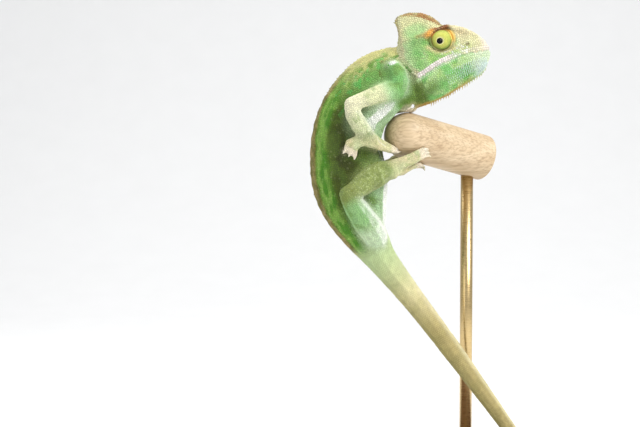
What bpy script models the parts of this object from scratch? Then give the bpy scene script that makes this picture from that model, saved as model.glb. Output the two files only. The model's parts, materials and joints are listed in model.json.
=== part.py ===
"""A young veiled chameleon (Chamaeleo calyptratus), life size, gripping the rounded end of a perch
on a plain display stand.

Sizes are in millimetres and are turned into Blender's metres when a mesh is made. X runs forward,
the way the animal's snout points, +Y is its left side, and Z is up from the underside of the stand.
The body hangs upright from its feet: back towards -X, belly towards +X, tail down.
"""

import math

import bmesh
import bpy
import numpy as np
from mathutils import Vector

MM = 0.001
GAP = 0.3  # between two pieces that meet
LEVEL = math.radians(5)  # faces turned by less than this are joined
MERGE = 0.005  # points of a cut edge closer than this become one

# The whole animal: the head and body measure about 105 from snout to vent, the tail about 135.
HEAD_TILT = math.radians(20)  # how far the mouth line rises towards the snout
JAW_CORNER = (-4.3, 0.0, 156.4)  # corner of the mouth, the head's own origin
HEAD_LENGTH = 27.2  # from the corner of the mouth to the tip of the snout
EYE_AT = (12.3, 9.25)  # eye, forward of and above the corner of the mouth
TURRET_RADIUS = 4.6  # at its foot, along the head
TURRET_SQUASH = 0.86  # its height as a share of its length
TURRET_REACH = 9.6  # from the middle of the head to the tip of the eye turret
TURRET_LEAN = 0.05  # how far it leans backwards, for each millimetre outwards
PUPIL_RADIUS = 1.25
PUPIL_BACK, PUPIL_DOWN, PUPIL_DEPTH = 1.4, 0.1, 1.0  # from the turret's middle and its tip

# Spine, from inside the back of the head to the vent: middle of the trunk (X, Z), half its height
# from back to belly, and half its width.
TRUNK = [
    (-7.2, 157.6, 11.2, 6.2),
    (-14.4, 155.9, 12.2, 7.0),
    (-20.1, 152.2, 12.9, 7.7),
    (-26.5, 144.6, 12.7, 8.3),
    (-29.9, 134.6, 12.9, 8.6),
    (-29.4, 123.8, 13.8, 8.6),
    (-28.0, 115.0, 13.3, 8.0),
    (-26.0, 107.3, 11.2, 7.0),
    (-23.2, 100.4, 8.4, 6.0),
    (-19.4, 94.4, 6.6, 5.0),
]
NECK_SHARE = 0.17  # of the trunk's path
BELLY_TURN = math.radians(24)  # the chest turns this far towards -Y, and the vent not at all
CREST_HEIGHT = 0.4  # of the spines along the back

# Tail: middle (X, Y, Z), half height, half width. The curl at its end goes on from the last point.
TAIL = [
    (-19.4, 0.0, 94.4, 6.6, 5.0),
    (-16.0, 0.0, 89.6, 5.5, 4.4),
    (-5.2, 0.0, 75.9, 4.3, 3.5),
    (8.0, -0.5, 58.6, 3.8, 3.1),
    (20.6, -1.0, 41.4, 3.1, 2.6),
    (30.6, -1.5, 27.6, 2.5, 2.1),
    (37.4, -1.8, 18.8, 2.1, 1.8),
]
CURL_RADIUS = 7.2
CURL_TURNS = 1.3
CURL_TIGHTENING = 0.62  # share of the radius lost by the end of the curl
TAIL_TIP_RADIUS = 0.5

# Perch and stand
PERCH_RADIUS = 8.4
PERCH_END = (-7.9, 1.8, 135.4)  # middle of the rounded end
PERCH_RUN = (0.86, 0.45, -0.24)  # the way it runs from there
PERCH_LENGTH = 34.0
ROD_RADIUS = 2.3
ROD_SHARE = 0.78  # how far along the perch the rod stands under it
COLLAR_RADIUS = 6.0
COLLAR_HEIGHT = 4.0
BASE_LENGTH, BASE_DEPTH, BASE_HEIGHT = 108.0, 64.0, 8.0
BASE_CORNER = 14.0
BASE_CHAMFER = 1.2

COLOURS = {  # base colour, roughness, metallic
    "skin_green": ((0.36, 0.62, 0.28), 0.55, 0.0),
    "skin_pale": ((0.60, 0.70, 0.42), 0.55, 0.0),
    "eye_lid": ((0.72, 0.72, 0.18), 0.50, 0.0),
    "eyeball": ((0.02, 0.02, 0.015), 0.10, 0.0),
    "wood": ((0.66, 0.47, 0.29), 0.45, 0.0),
    "brass": ((0.78, 0.60, 0.30), 0.30, 1.0),
}


# ---------------------------------------------------------------- Blender helpers


def clear_scene():
    for obj in list(bpy.data.objects):
        bpy.data.objects.remove(obj)


def material(name):
    found = bpy.data.materials.get(name)
    if found is None:
        colour, roughness, metallic = COLOURS[name]
        found = bpy.data.materials.new(name)
        found.use_nodes = True
        shader = found.node_tree.nodes["Principled BSDF"]
        shader.inputs["Base Color"].default_value = (*colour, 1.0)
        shader.inputs["Roughness"].default_value = roughness
        shader.inputs["Metallic"].default_value = metallic
    return found


def solid(name, bm, finish):
    """An object from a bmesh in millimetres, with its faces turned outwards and shaded smooth."""
    bmesh.ops.scale(bm, vec=(MM, MM, MM), verts=bm.verts)
    bmesh.ops.recalc_face_normals(bm, faces=bm.faces)
    mesh = bpy.data.meshes.new(name)
    bm.to_mesh(mesh)
    bm.free()
    mesh.shade_smooth()
    mesh.materials.append(material(finish))
    obj = bpy.data.objects.new(name, mesh)
    bpy.context.scene.collection.objects.link(obj)
    return obj


def tidy(mesh):
    """Joins points closer than MERGE, and removes all but the biggest body that a cut has left."""
    bm = bmesh.new()
    bm.from_mesh(mesh)
    bmesh.ops.remove_doubles(bm, verts=bm.verts, dist=MERGE * MM)
    bmesh.ops.dissolve_degenerate(bm, edges=bm.edges, dist=MERGE * MM)
    if any(not edge.is_manifold for edge in bm.edges):
        bm.free()
        bm = bmesh.new()
        bm.from_mesh(mesh)
    bmesh.ops.triangulate(bm, faces=[f for f in bm.faces if len(f.verts) > 4])
    left, islands = set(bm.verts), []
    while left:
        island, front = set(), [left.pop()]
        while front:
            vert = front.pop()
            island.add(vert)
            for edge in vert.link_edges:
                other = edge.other_vert(vert)
                if other in left:
                    left.discard(other)
                    front.append(other)
        islands.append(island)
    islands.sort(key=len)
    bmesh.ops.delete(bm, geom=[v for island in islands[:-1] for v in island], context="VERTS")
    bm.to_mesh(mesh)
    bm.free()


def boolean(target, other, operation):
    """Cuts target by other, or joins other to it, and keeps one body."""
    modifier = target.modifiers.new(operation, "BOOLEAN")
    modifier.operation = operation
    modifier.object = other
    graph = bpy.context.evaluated_depsgraph_get()
    mesh = bpy.data.meshes.new_from_object(target.evaluated_get(graph))
    target.modifiers.clear()
    target.data = mesh
    tidy(mesh)


def join(target, *others):
    for other in others:
        boolean(target, other, "UNION")
        bpy.data.objects.remove(other)
    return target


def swollen(obj, by=GAP):
    """A copy of obj with its surface moved out by a gap, to cut with."""
    bm = bmesh.new()
    bm.from_mesh(obj.data)
    bm.normal_update()
    moves = [(v, v.normal * by * MM * min(v.calc_shell_factor(), 1.6)) for v in bm.verts]
    for vert, move in moves:
        vert.co += move
    bmesh.ops.scale(bm, vec=(1 / MM, 1 / MM, 1 / MM), verts=bm.verts)
    return solid(obj.name + "_cutter", bm, "wood")


def cut_back(target, *others):
    """Cuts target back from its neighbours, a gap away from their surfaces."""
    for other in others:
        cutter = swollen(other)
        boolean(target, cutter, "DIFFERENCE")
        bpy.data.objects.remove(cutter)
    return target


def plainer(obj):
    """Joins nearly level faces, which takes the slivers away that cuts have left."""
    bm = bmesh.new()
    bm.from_mesh(obj.data)
    before = bm.calc_volume()
    bmesh.ops.dissolve_limit(bm, angle_limit=LEVEL, verts=bm.verts, edges=bm.edges)
    bmesh.ops.triangulate(bm, faces=bm.faces)
    whole = all(edge.is_manifold for edge in bm.edges)
    if whole and abs(bm.calc_volume() / before - 1) < 0.01:
        bm.to_mesh(obj.data)
        obj.data.shade_smooth()
    bm.free()


def guide(obj):
    """A copy of a whole piece, kept aside to cut its neighbours with."""
    copy = obj.copy()
    copy.data = obj.data.copy()
    copy.name = obj.name + "_guide"
    copy.hide_render = True
    copy.display_type = "WIRE"
    return copy


# ---------------------------------------------------------------- curves and lofts


def smooth_rows(rows, count):
    """Rows of numbers, read evenly along a smooth curve through the given ones."""
    rows = np.array(rows, float)
    ends = np.vstack([2 * rows[0] - rows[1], rows, 2 * rows[-1] - rows[-2]])
    fine = []
    for i in range(len(rows) - 1):
        a, b, c, d = ends[i : i + 4]
        for t in np.linspace(0, 1, 24, endpoint=False):
            fine.append(
                0.5
                * (
                    2 * b
                    + (c - a) * t
                    + (2 * a - 5 * b + 4 * c - d) * t**2
                    + (3 * b - a - 3 * c + d) * t**3
                )
            )
    fine = np.array(fine + [rows[-1]])
    places = np.linalg.norm(np.diff(fine[:, :3], axis=0), axis=1)
    along = np.concatenate([[0], np.cumsum(places)])
    wanted = np.linspace(0, along[-1], count)
    return np.column_stack([np.interp(wanted, along, column) for column in fine.T])


def frames(path, side=(0, 1, 0), turn=None):
    """(tangent, side, up) at each point: up is side x tangent, and both turn about the tangent."""
    tangents = np.gradient(path, axis=0)
    tangents /= np.linalg.norm(tangents, axis=1)[:, None]
    sides = np.array(side, float) - tangents * (tangents @ np.array(side, float))[:, None]
    sides /= np.linalg.norm(sides, axis=1)[:, None]
    ups = np.cross(sides, tangents)
    if turn is not None:
        cos, sin = np.cos(turn)[:, None], np.sin(turn)[:, None]
        sides, ups = sides * cos - ups * sin, ups * cos + sides * sin
    return tangents, sides, ups


def loft(name, rings, finish, ends=(None, None)):
    """A closed body through rings of points. Each end is a point, or None for a flat cap."""
    bm = bmesh.new()
    made = [[bm.verts.new(p) for p in ring] for ring in rings]
    count = len(made[0])
    for near, far in zip(made, made[1:]):
        for i in range(count):
            j = (i + 1) % count
            bm.faces.new((near[i], near[j], far[j], far[i]))
    for ring, end in zip((made[0], made[-1]), ends):
        if end is None:
            end = np.mean([v.co for v in ring], axis=0)
        tip = bm.verts.new(end)
        for i in range(count):
            bm.faces.new((ring[i], ring[(i + 1) % count], tip))
    return solid(name, bm, finish)


def oval(centre, side, up, half_width, top, bottom, count, keel=2.0):
    """One ring of a body. The first point is on the back, where keel under 2 makes it pointed."""
    ring = []
    for angle in np.arange(count) * 2 * math.pi / count:
        s, c = math.sin(angle), math.cos(angle)
        power = 2 / (keel if c > 0 else 2.1)
        height = (top if c > 0 else bottom) * math.copysign(abs(c) ** power, c)
        width = half_width * math.copysign(abs(s) ** power, s)
        ring.append(centre + side * width + up * height)
    return ring


def limb(name, joints, finish, count=10, rings=9):
    """A round-ended length of leg through (x, y, z, radius) rows."""
    rows = smooth_rows(joints, rings)
    path, radii = rows[:, :3], rows[:, 3]
    tangents, sides, ups = frames(path, side=(0.03, 1, 0.05))
    start, end = path[0] - tangents[0] * radii[0], path[-1] + tangents[-1] * radii[-1]
    body = []
    for lean in (0.85, 0.5):  # rounds off the near end
        body.append((path[0] - tangents[0] * radii[0] * lean, math.sqrt(1 - lean**2), 0))
    body += [(path[i], 1.0, i) for i in range(rings)]
    for lean in (0.5, 0.85):
        body.append((path[-1] + tangents[-1] * radii[-1] * lean, math.sqrt(1 - lean**2), -1))
    shapes = [
        oval(p, sides[i], ups[i], radii[i] * k, radii[i] * k, radii[i] * k, count)
        for p, k, i in body
    ]
    return loft(name, shapes, finish, (start, end))


# ---------------------------------------------------------------- head


def in_head(forward, left, above):
    """A place in the head, measured from the corner of the mouth, in the model's frame."""
    cos, sin = math.cos(HEAD_TILT), math.sin(HEAD_TILT)
    x, y, z = JAW_CORNER
    return np.array([x + forward * cos - above * sin, y + left, z + forward * sin + above * cos])


def curve(knots, at):
    """A smooth value at a place, from a few knots of (place, value)."""
    knots = np.array(knots, float)
    rows = smooth_rows(np.column_stack([knots[:, 0], 0 * knots[:, 0], 0 * knots[:, 0], knots[:, 1]]), 200)
    return float(np.interp(at, rows[:, 0], rows[:, 3]))


SKULL_TOP = [
    (-4.6, 9.5), (0, 12.4), (6, 14.2), (12.5, 15.0),
    (17, 13.7), (21, 11.5), (24.6, 8.0), (26.6, 5.2), (27.4, 3.2),
]
SKULL_BOTTOM = [(-4.6, -10.4), (2, -10.5), (8, -10.0), (14.5, -8.8), (19.6, -7.6), (24, -5.7), (27.4, -1.0)]
SKULL_WIDTH = [
    (-4.6, 6.4), (-1, 7.9), (3.5, 8.5), (8, 7.9), (13, 6.5),
    (18, 5.5), (22.5, 4.5), (25.8, 3.1), (27.4, 1.2),
]
SKULL_WIDEST = [  # its height above the mouth's corner
    (-4.6, 1.0), (6, 0.5), (14, 2.5),
    (22, 2.0), (27.4, 1.2),
]


def skull():
    """The wedge of the head and throat, without the casque."""
    rings = []
    for share in np.linspace(0, 1, 13):
        forward = -4.4 + (HEAD_LENGTH + 4.2) * (1 - (1 - share) ** 1.25)
        middle = curve(SKULL_WIDEST, forward)
        top, bottom = curve(SKULL_TOP, forward) - middle, middle - curve(SKULL_BOTTOM, forward)
        width = curve(SKULL_WIDTH, forward)
        ring = oval(np.zeros(3), np.array([0, 1, 0]), np.array([0, 0, 1]), width, top, bottom, 14, 2.5)
        rings.append([in_head(forward, p[1], p[2] + middle) for p in ring])
    tip = in_head(HEAD_LENGTH + 0.3, 0, 1.2)
    return loft("head", rings, "skin_green", (None, tip))


CASQUE_REAR = [(6, -3.8), (9.6, -4.3), (13.4, -2.9), (17.7, -1.2), (21.4, -1.4), (22.9, 0.7)]
CASQUE_FRONT = [(6, 11.0), (12, 14.4), (15.6, 14.0), (18.5, 12.3), (21.0, 9.4), (22.9, 4.6)]
CASQUE_WIDTH = [(6, 7.2), (10, 6.3), (14, 4.3), (18, 2.2), (21, 1.1), (22.9, 0.5)]


def casque():
    """The helmet: a tall fin, broad at its foot and thin along its crest."""
    rings = []
    for above in (6, 9.5, 13, 16, 19, 21.2, 22.4, 22.9):
        rear, front = curve(CASQUE_REAR, above), curve(CASQUE_FRONT, above)
        width = curve(CASQUE_WIDTH, above)
        ring = []
        for angle in np.arange(12) * math.pi / 6:
            along = math.copysign(abs(math.cos(angle)) ** 0.75, math.cos(angle))
            ring.append(
                in_head((rear + front) / 2 + along * (front - rear) / 2, width * math.sin(angle), above)
            )
        rings.append(ring)
    return loft("casque", rings, "skin_green")


def brow(side):
    """The ridge from the nostril over the eye to the rear of the casque, on one side."""
    rows = [
        (24.6, 2.6, 6.1, 0.7),
        (21.5, 3.6, 9.4, 0.9),
        (17.5, 4.7, 11.8, 1.1),
        (13.0, 5.7, 13.2, 1.3),
        (8.0, 6.0, 12.9, 1.2),
        (3.5, 5.8, 11.4, 0.9),
    ]
    rows = [(*in_head(forward, side * left, above), radius) for forward, left, above, radius in rows]
    return limb("brow", rows, "skin_green", count=6, rings=5)


MOUTH = [
    (-0.6, -0.7), (1.5, -0.3), (5.8, 0.9), (9, 1.5), (12, 1.7),
    (16, 1.75), (20, 1.6), (24, 0.9), (30, -0.3),
]


def below_mouth(lift):
    """A block that holds all of the head below the mouth line, shifted up by lift."""
    line = [(f, u + lift) for f, u in smooth_rows([(f, 0, u) for f, u in MOUTH], 14)[:, [0, 2]]]
    outline = [(-20.0, -9.0 + lift), (-4.5, -5.0 + lift), *line, (34.0, -20.0), (-20.0, -20.0)]
    bm = bmesh.new()
    near, far = ([bm.verts.new(in_head(f, y, u)) for f, u in outline] for y in (-20.0, 20.0))
    bm.faces.new(near)
    bm.faces.new(reversed(far))
    for i in range(len(outline)):
        j = (i + 1) % len(outline)
        bm.faces.new((near[i], far[i], far[j], near[j]))
    return solid("below_mouth", bm, "wood")


def turret(side):
    """One eye turret: a low cone with a round top, covered by its lids."""
    forward, above = EYE_AT
    rings = []
    for reach, share in ((3.5, 1.0), (5.8, 1.0), (6.9, 0.9), (8.0, 0.75), (9.0, 0.53), (9.5, 0.3)):
        radius = share * TURRET_RADIUS
        ring = []
        for angle in np.arange(12) * math.pi / 6:
            ring.append(
                in_head(
                    forward + radius * math.cos(angle) - TURRET_LEAN * reach,
                    side * reach,
                    above + radius * TURRET_SQUASH * math.sin(angle),
                )
            )
        rings.append(ring)
    tip = in_head(forward - TURRET_LEAN * TURRET_REACH, side * TURRET_REACH, above)
    return loft("eye_turret", rings, "eye_lid", (None, tip))


def eyeball(side):
    """The visible button of one eyeball, in the middle of its turret."""
    forward, above = EYE_AT
    bm = bmesh.new()
    bmesh.ops.create_uvsphere(bm, u_segments=10, v_segments=6, radius=PUPIL_RADIUS)
    centre = in_head(forward - PUPIL_BACK, side * (TURRET_REACH - PUPIL_DEPTH), above - PUPIL_DOWN)
    bmesh.ops.translate(bm, vec=centre, verts=bm.verts)
    return solid("eyeball", bm, "eyeball")


# ---------------------------------------------------------------- trunk and tail


def trunk_rows(count):
    rows = smooth_rows([(x, 0, z, half, width) for x, z, half, width in TRUNK], count)
    turn = BELLY_TURN * np.linspace(1, 0, count) ** 0.8
    return rows, frames(rows[:, :3], turn=turn)


def crest(i, count):
    """Height of the spines on the back at ring i: every other ring is a tip."""
    fade = min(1.0, 3 * i / count, 3 * (count - i) / count)
    return CREST_HEIGHT * fade * (i % 2)


def trunk_piece(name, first, last, count=46, around=12):
    """The part of the trunk between two shares of its path."""
    rows, (ways, sides, ups) = trunk_rows(count)
    rings = []
    start = round(first * (count - 1))
    for i in range(start, round(last * (count - 1)) + 1):
        centre, half, width = rows[i, :3], rows[i, 3], rows[i, 4]
        if i == start:
            centre = centre + ways[i] * GAP
        ring = oval(centre, sides[i], ups[i], width, half, half, around, keel=1.75)
        ring[0] = ring[0] + ups[i] * crest(i, count)
        rings.append(ring)
    return loft(name, rings, "skin_green")


def tail_rows(count):
    """The tail's path: down through its points, then a flat curl towards the belly side."""
    rows = [list(row) for row in TAIL]
    last, before = np.array(rows[-1]), np.array(rows[-2])
    heading = math.atan2(last[2] - before[2], last[0] - before[0])
    x, y, z, half, width = last
    steps = 20
    for step in range(1, steps + 1):
        share = step / steps
        radius = CURL_RADIUS * (1 - CURL_TIGHTENING * share)
        turn = 2 * math.pi * CURL_TURNS / steps
        heading += turn
        x += radius * turn * math.cos(heading)
        z += radius * turn * math.sin(heading)
        thin = (1 - share) ** 0.8
        rows.append([x, y, z, TAIL_TIP_RADIUS + (half - TAIL_TIP_RADIUS) * thin,
                     TAIL_TIP_RADIUS + (width - TAIL_TIP_RADIUS) * thin])
    rows = smooth_rows(rows, count)
    return rows, frames(rows[:, :3])


def tail_piece(name, first, last, count=52, around=8):
    rows, (ways, sides, ups) = tail_rows(count)
    start, stop = round(first * (count - 1)), round(last * (count - 1))
    rings = []
    for i in range(start, stop + 1):
        centre, half, width = rows[i, :3], rows[i, 3], rows[i, 4]
        if i == start:
            centre = centre + ways[i] * GAP
        rings.append(oval(centre, sides[i], ups[i], width, half, half, around, keel=1.9))
    tip = None
    if stop == count - 1:
        tip = rows[-1, :3] + (rows[-1, :3] - rows[-2, :3]) * 0.5
    return loft(name, rings, "skin_pale", (None, tip))


# ---------------------------------------------------------------- legs

# Each leg: rows of (x, y, z, radius) of the upper and the lower leg.
LEGS = {
    "front_right": {
        "upper": [
            (-11.8, -6.0, 151.6, 4.2),
            (-15.8, -8.6, 151.0, 3.6),
            (-22.2, -11.4, 148.8, 2.9),
            (-28.2, -12.6, 146.4, 2.7),
        ],
        "lower": [
            (-28.5, -12.6, 146.0, 2.6),
            (-27.2, -12.3, 141.8, 3.0),
            (-24.4, -11.6, 137.8, 2.9),
            (-21.9, -10.4, 134.8, 2.4),
        ],
    },
    "hind_right": {
        "upper": [
            (-19.6, -4.2, 99.5, 4.6),
            (-22.4, -7.0, 104.0, 4.8),
            (-27.0, -10.6, 110.6, 4.0),
            (-29.4, -11.8, 114.8, 3.3),
        ],
        "lower": [
            (-29.4, -11.8, 115.0, 3.2),
            (-24.6, -11.2, 117.6, 3.6),
            (-18.8, -10.0, 120.6, 3.4),
            (-14.6, -8.8, 122.8, 2.7),
        ],
    },
    "front_left": {
        "upper": [
            (-11.2, 6.0, 151.4, 4.2),
            (-14.6, 9.0, 150.2, 3.6),
            (-20.8, 12.0, 147.6, 2.9),
            (-26.4, 13.0, 145.0, 2.7),
        ],
        "lower": [
            (-26.8, 13.0, 144.6, 2.6),
            (-24.0, 13.0, 144.4, 3.0),
            (-20.6, 11.4, 144.6, 2.8),
            (-17.4, 8.6, 144.6, 2.3),
        ],
    },
    "hind_left": {
        "upper": [
            (-19.6, 4.2, 99.5, 4.6),
            (-22.4, 7.6, 103.6, 4.8),
            (-26.6, 11.6, 109.8, 4.0),
            (-28.6, 12.8, 113.6, 3.3),
        ],
        "lower": [
            (-28.6, 12.8, 113.8, 3.2),
            (-23.8, 13.0, 117.6, 3.6),
            (-18.0, 12.8, 121.6, 3.4),
            (-13.8, 12.2, 124.4, 2.7),
        ],
    },
}
SHIN = [
    (-26.5, 10.2, 119.6, 1.6), (-22.5, 9.6, 122.4, 2.0),
    (-17.8, 8.8, 124.7, 2.0), (-15.0, 8.4, 125.2, 1.6),
]
SHOULDER = [(-13.2, 6.0, 159.6, 2.6), (-11.2, 6.8, 156.2, 3.4), (-11.6, 6.8, 152.0, 3.6)]

# Each foot has two opposed bundles of toes, three inside and two outside in front, and the other way
# round behind. A bundle: number of toes, the way they lie beside each other, and the path of its
# middle from the palm to the toe tips.
FEET = {
    "front_right": [
        (2, (0.1, 0.5, 0.85), (1.3, 0.9), [
            (-20.6, -9.6, 133.6), (-18.0, -7.8, 132.2),
            (-15.2, -5.8, 131.2), (-12.6, -4.6, 130.2),
        ]),
        (3, (0.85, -0.1, -0.5), (0.5, 1.1), [
            (-22.2, -10.6, 133.2), (-26.0, -11.4, 133.6),
            (-28.6, -11.4, 131.6), (-28.7, -10.9, 129.4),
        ]),
    ],
    "front_left": [
        (3, (0.5, 0.8, -0.2), (0.6, 1.0), [
            (-16.6, 6.8, 144.8), (-13.8, 3.8, 144.9),
            (-10.6, 1.2, 144.8), (-7.8, -0.6, 144.5),
        ]),
        (2, (0.3, 0.1, 0.95), (0.6, 1.0), [
            (-16.4, 9.0, 143.6), (-13.4, 10.6, 141.2),
            (-10.4, 11.4, 138.8), (-7.8, 12.4, 136.8),
        ]),
    ],
    "hind_right": [
        (3, (-0.28, -0.45, 0.83), (0.5, 0.8), [
            (-14.2, -8.2, 124.6), (-10.0, -7.4, 125.8),
            (-5.9, -5.6, 127.6), (-2.4, -4.6, 129.4),
        ]),
        (2, (0.1, 0.9, -0.2), (0.6, 1.0), [
            (-13.0, -7.6, 122.6), (-9.8, -4.6, 122.8),
            (-6.4, -1.2, 124.4), (-3.6, 1.4, 125.0),
        ]),
    ],
    "hind_left": [
        (3, (0.3, 0.2, 0.9), (0.6, 1.0), [
            (-13.0, 12.2, 125.2), (-9.4, 13.0, 127.4),
            (-5.9, 13.2, 129.6), (-2.7, 15.2, 131.6),
        ]),
        (2, (0.1, 0.9, 0.2), (0.6, 1.0), [
            (-12.8, 11.4, 124.0), (-9.4, 9.6, 123.8),
            (-6.2, 7.4, 124.4), (-3.6, 6.5, 124.5),
        ]),
    ],
}
TOE_RADIUS = (1.75, 0.8)  # at the palm and at the tip
TOE_SPACING = 1.8
CLAW_LENGTH = 2.1
CLAW_RADIUS = 0.55
CLAW_HOOK = 0.9  # how far a claw bends: up where its toe points down, and down elsewhere


def toe(path, shift, spread):
    """One toe with its claw, beside the middle line of its bundle."""
    rows = smooth_rows(path, 4)[:, :3]
    rows = rows + np.linspace(*spread, 4)[:, None] * shift
    way = rows[-1] - rows[-2]
    way /= np.linalg.norm(way)
    hook = np.array([0, 0, 1.0]) * (1 if way[2] < 0 else -1)
    claw = [rows[-1] + way * CLAW_LENGTH * t + hook * CLAW_HOOK * t**2 for t in (0.4, 0.9, 1.3)]
    points = np.vstack([rows, claw])
    radii = [*np.linspace(*TOE_RADIUS, 4), CLAW_RADIUS * 1.2, CLAW_RADIUS * 0.8, CLAW_RADIUS * 0.35]
    ways, sides, ups = frames(points, side=(0.2, 1, 0.1))
    rings = [oval(p, s, u, r, r, r, 6) for p, s, u, r in zip(points, sides, ups, radii)]
    start, end = points[0] - ways[0] * radii[0] * 0.7, points[-1] + ways[-1] * 0.15
    return loft("toe", rings, "skin_pale", (start, end))


def foot(name, palm_at, palm_radius):
    """The palm with its two bundles of toes."""
    palm = limb(name, [(*palm_at, palm_radius), (*(np.array(palm_at) + (0.6, 0, 0)), palm_radius)],
                "skin_pale", count=8, rings=2)
    for toes, beside, spread, path in FEET[name.replace("foot_", "")]:
        beside = np.array(beside) / np.linalg.norm(beside)
        for k in range(toes):
            join(palm, toe(path, beside * TOE_SPACING * (k - (toes - 1) / 2), spread))
    return palm


def leg(where, body, perch):
    """Upper leg, lower leg and foot, each cut back from what it meets."""
    side = -1 if where.endswith("right") else 1
    upper, lower = (
        [limb("leg_" + length + "_" + where, LEGS[where][length], "skin_pale", count=10, rings=5)]
        for length in ("upper", "lower")
    )
    if where.startswith("front"):
        blade = [(x, y * side, z, radius) for x, y, z, radius in SHOULDER]
        upper.append(limb("shoulder", blade, "skin_pale", count=10, rings=4))
    if where == "hind_right":
        ridge = [(x, y * side, z, radius) for x, y, z, radius in SHIN]
        lower.append(limb("shin", ridge, "skin_pale", count=8, rings=5))
    whole_upper, whole_lower = [guide(p) for p in upper], [guide(p) for p in lower]
    x, y, z, radius = LEGS[where]["lower"][-1]
    paw = foot("foot_" + where, (x, y, z - 0.4), radius * 1.02)
    cut_back(join(*upper), *body)
    cut_back(join(*lower), *whole_upper, *body)
    cut_back(paw, *whole_lower, *whole_upper, *body, perch)
    for whole in (*whole_upper, *whole_lower):
        bpy.data.objects.remove(whole)


# ---------------------------------------------------------------- stand


def revolved(name, start, run, stations, finish, count=20):
    """A turned piece: stations of (distance along run, radius)."""
    run = Vector(run).normalized()
    side = run.orthogonal().normalized()
    up = run.cross(side)
    rings = []
    for along, radius in stations:
        centre = Vector(start) + run * along
        rings.append(
            [
                centre + radius * (side * math.cos(a) + up * math.sin(a))
                for a in np.arange(count) * 2 * math.pi / count
            ]
        )
    return loft(name, rings, finish)


def perch():
    round_end = [
        (-PERCH_RADIUS * math.cos(a), PERCH_RADIUS * math.sin(a)) for a in np.radians((16, 40, 65, 90))
    ]
    edge = 0.8
    far_end = [(PERCH_LENGTH - edge, PERCH_RADIUS), (PERCH_LENGTH, PERCH_RADIUS - edge)]
    return revolved("stand_perch", PERCH_END, PERCH_RUN, round_end + far_end, "wood")


def stand(perch_solid):
    """Base, collar and the rod that carries the perch."""
    bm = bmesh.new()
    outline = []
    for turn in range(4):
        cx = (BASE_LENGTH / 2 - BASE_CORNER) * (1, -1, -1, 1)[turn]
        cy = (BASE_DEPTH / 2 - BASE_CORNER) * (1, 1, -1, -1)[turn]
        for step in range(7):
            angle = math.pi / 2 * (turn + step / 6)
            outline.append((cx + BASE_CORNER * math.cos(angle), cy + BASE_CORNER * math.sin(angle), 0))
    bottom = bm.faces.new([bm.verts.new(p) for p in outline])
    block = bmesh.ops.extrude_face_region(bm, geom=[bottom])
    raised = [v for v in block["geom"] if isinstance(v, bmesh.types.BMVert)]
    bmesh.ops.translate(bm, vec=(0, 0, BASE_HEIGHT), verts=raised)
    top_edges = [e for e in bm.edges if all(v in raised for v in e.verts)]
    bmesh.ops.bevel(bm, geom=top_edges, offset=BASE_CHAMFER, segments=2, affect="EDGES", profile=0.5)
    solid("stand_base", bm, "wood")
    foot_at = np.array(PERCH_END) + np.array(PERCH_RUN) * PERCH_LENGTH * ROD_SHARE
    foot_at[2] = BASE_HEIGHT + GAP
    collar = revolved(
        "stand_collar",
        foot_at,
        (0, 0, 1),
        [(0, COLLAR_RADIUS), (COLLAR_HEIGHT * 0.45, COLLAR_RADIUS), (COLLAR_HEIGHT, ROD_RADIUS + 1.2)],
        "brass",
    )
    height = PERCH_END[2] - foot_at[2]
    foot_at[2] += COLLAR_HEIGHT + GAP
    rod_rows = [(0, ROD_RADIUS), (height - COLLAR_HEIGHT, ROD_RADIUS)]
    rod = revolved("stand_rod", foot_at, (0, 0, 1), rod_rows, "brass", 16)
    cut_back(rod, perch_solid)
    return collar


# ---------------------------------------------------------------- the whole model


def main():
    clear_scene()
    perch_solid = perch()
    stand(perch_solid)

    head = skull()
    pieces = [casque(), brow(1), brow(-1)]
    guides = [guide(piece) for piece in (head, pieces[0])]
    join(head, *pieces)
    for side, word in ((-1, "right"), (1, "left")):
        ball, lids = eyeball(side), turret(side)
        ball.name, lids.name = "eyeball_" + word, "eye_turret_" + word
        cut_back(head, lids)
        cut_back(lids, ball)
    jaw = guide(head)
    jaw.name, jaw.hide_render, jaw.display_type = "lower_jaw", False, "TEXTURED"
    bpy.context.scene.collection.objects.link(jaw)
    low, high = below_mouth(0.0), below_mouth(GAP)
    boolean(jaw, low, "INTERSECT")
    boolean(head, high, "DIFFERENCE")
    bpy.data.objects.remove(low)
    bpy.data.objects.remove(high)

    trunk = trunk_piece("trunk", NECK_SHARE, 1.0)
    neck = trunk_piece("neck", 0.0, NECK_SHARE)
    body = [guide(trunk), guide(neck)]
    cut_back(neck, *guides, perch_solid)
    cut_back(trunk, *guides, perch_solid)

    tail_piece("tail_base", 0.0, 0.3)
    tail_piece("tail_middle", 0.3, 0.62)
    tail_piece("tail_curl", 0.62, 1.0)

    for where in LEGS:
        leg(where, (*body, guides[0]), perch_solid)
    for whole in (*guides, *body):
        bpy.data.objects.remove(whole)
    for obj in bpy.data.objects:
        if obj.name.startswith(("head", "lower_jaw", "neck", "foot", "leg")):
            plainer(obj)


main()
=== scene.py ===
"""Looks of the young veiled chameleon: one skin over the frame's solids, scales, crests, claws and eyes.

Lengths are in millimetres until a mesh is made. +X is the way the snout points, +Y the animal's left, +Z up.
"""

import itertools
import json
import math

import bmesh
import bpy
import numpy as np
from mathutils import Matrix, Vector
from mathutils.bvhtree import BVHTree
from mathutils.kdtree import KDTree

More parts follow.
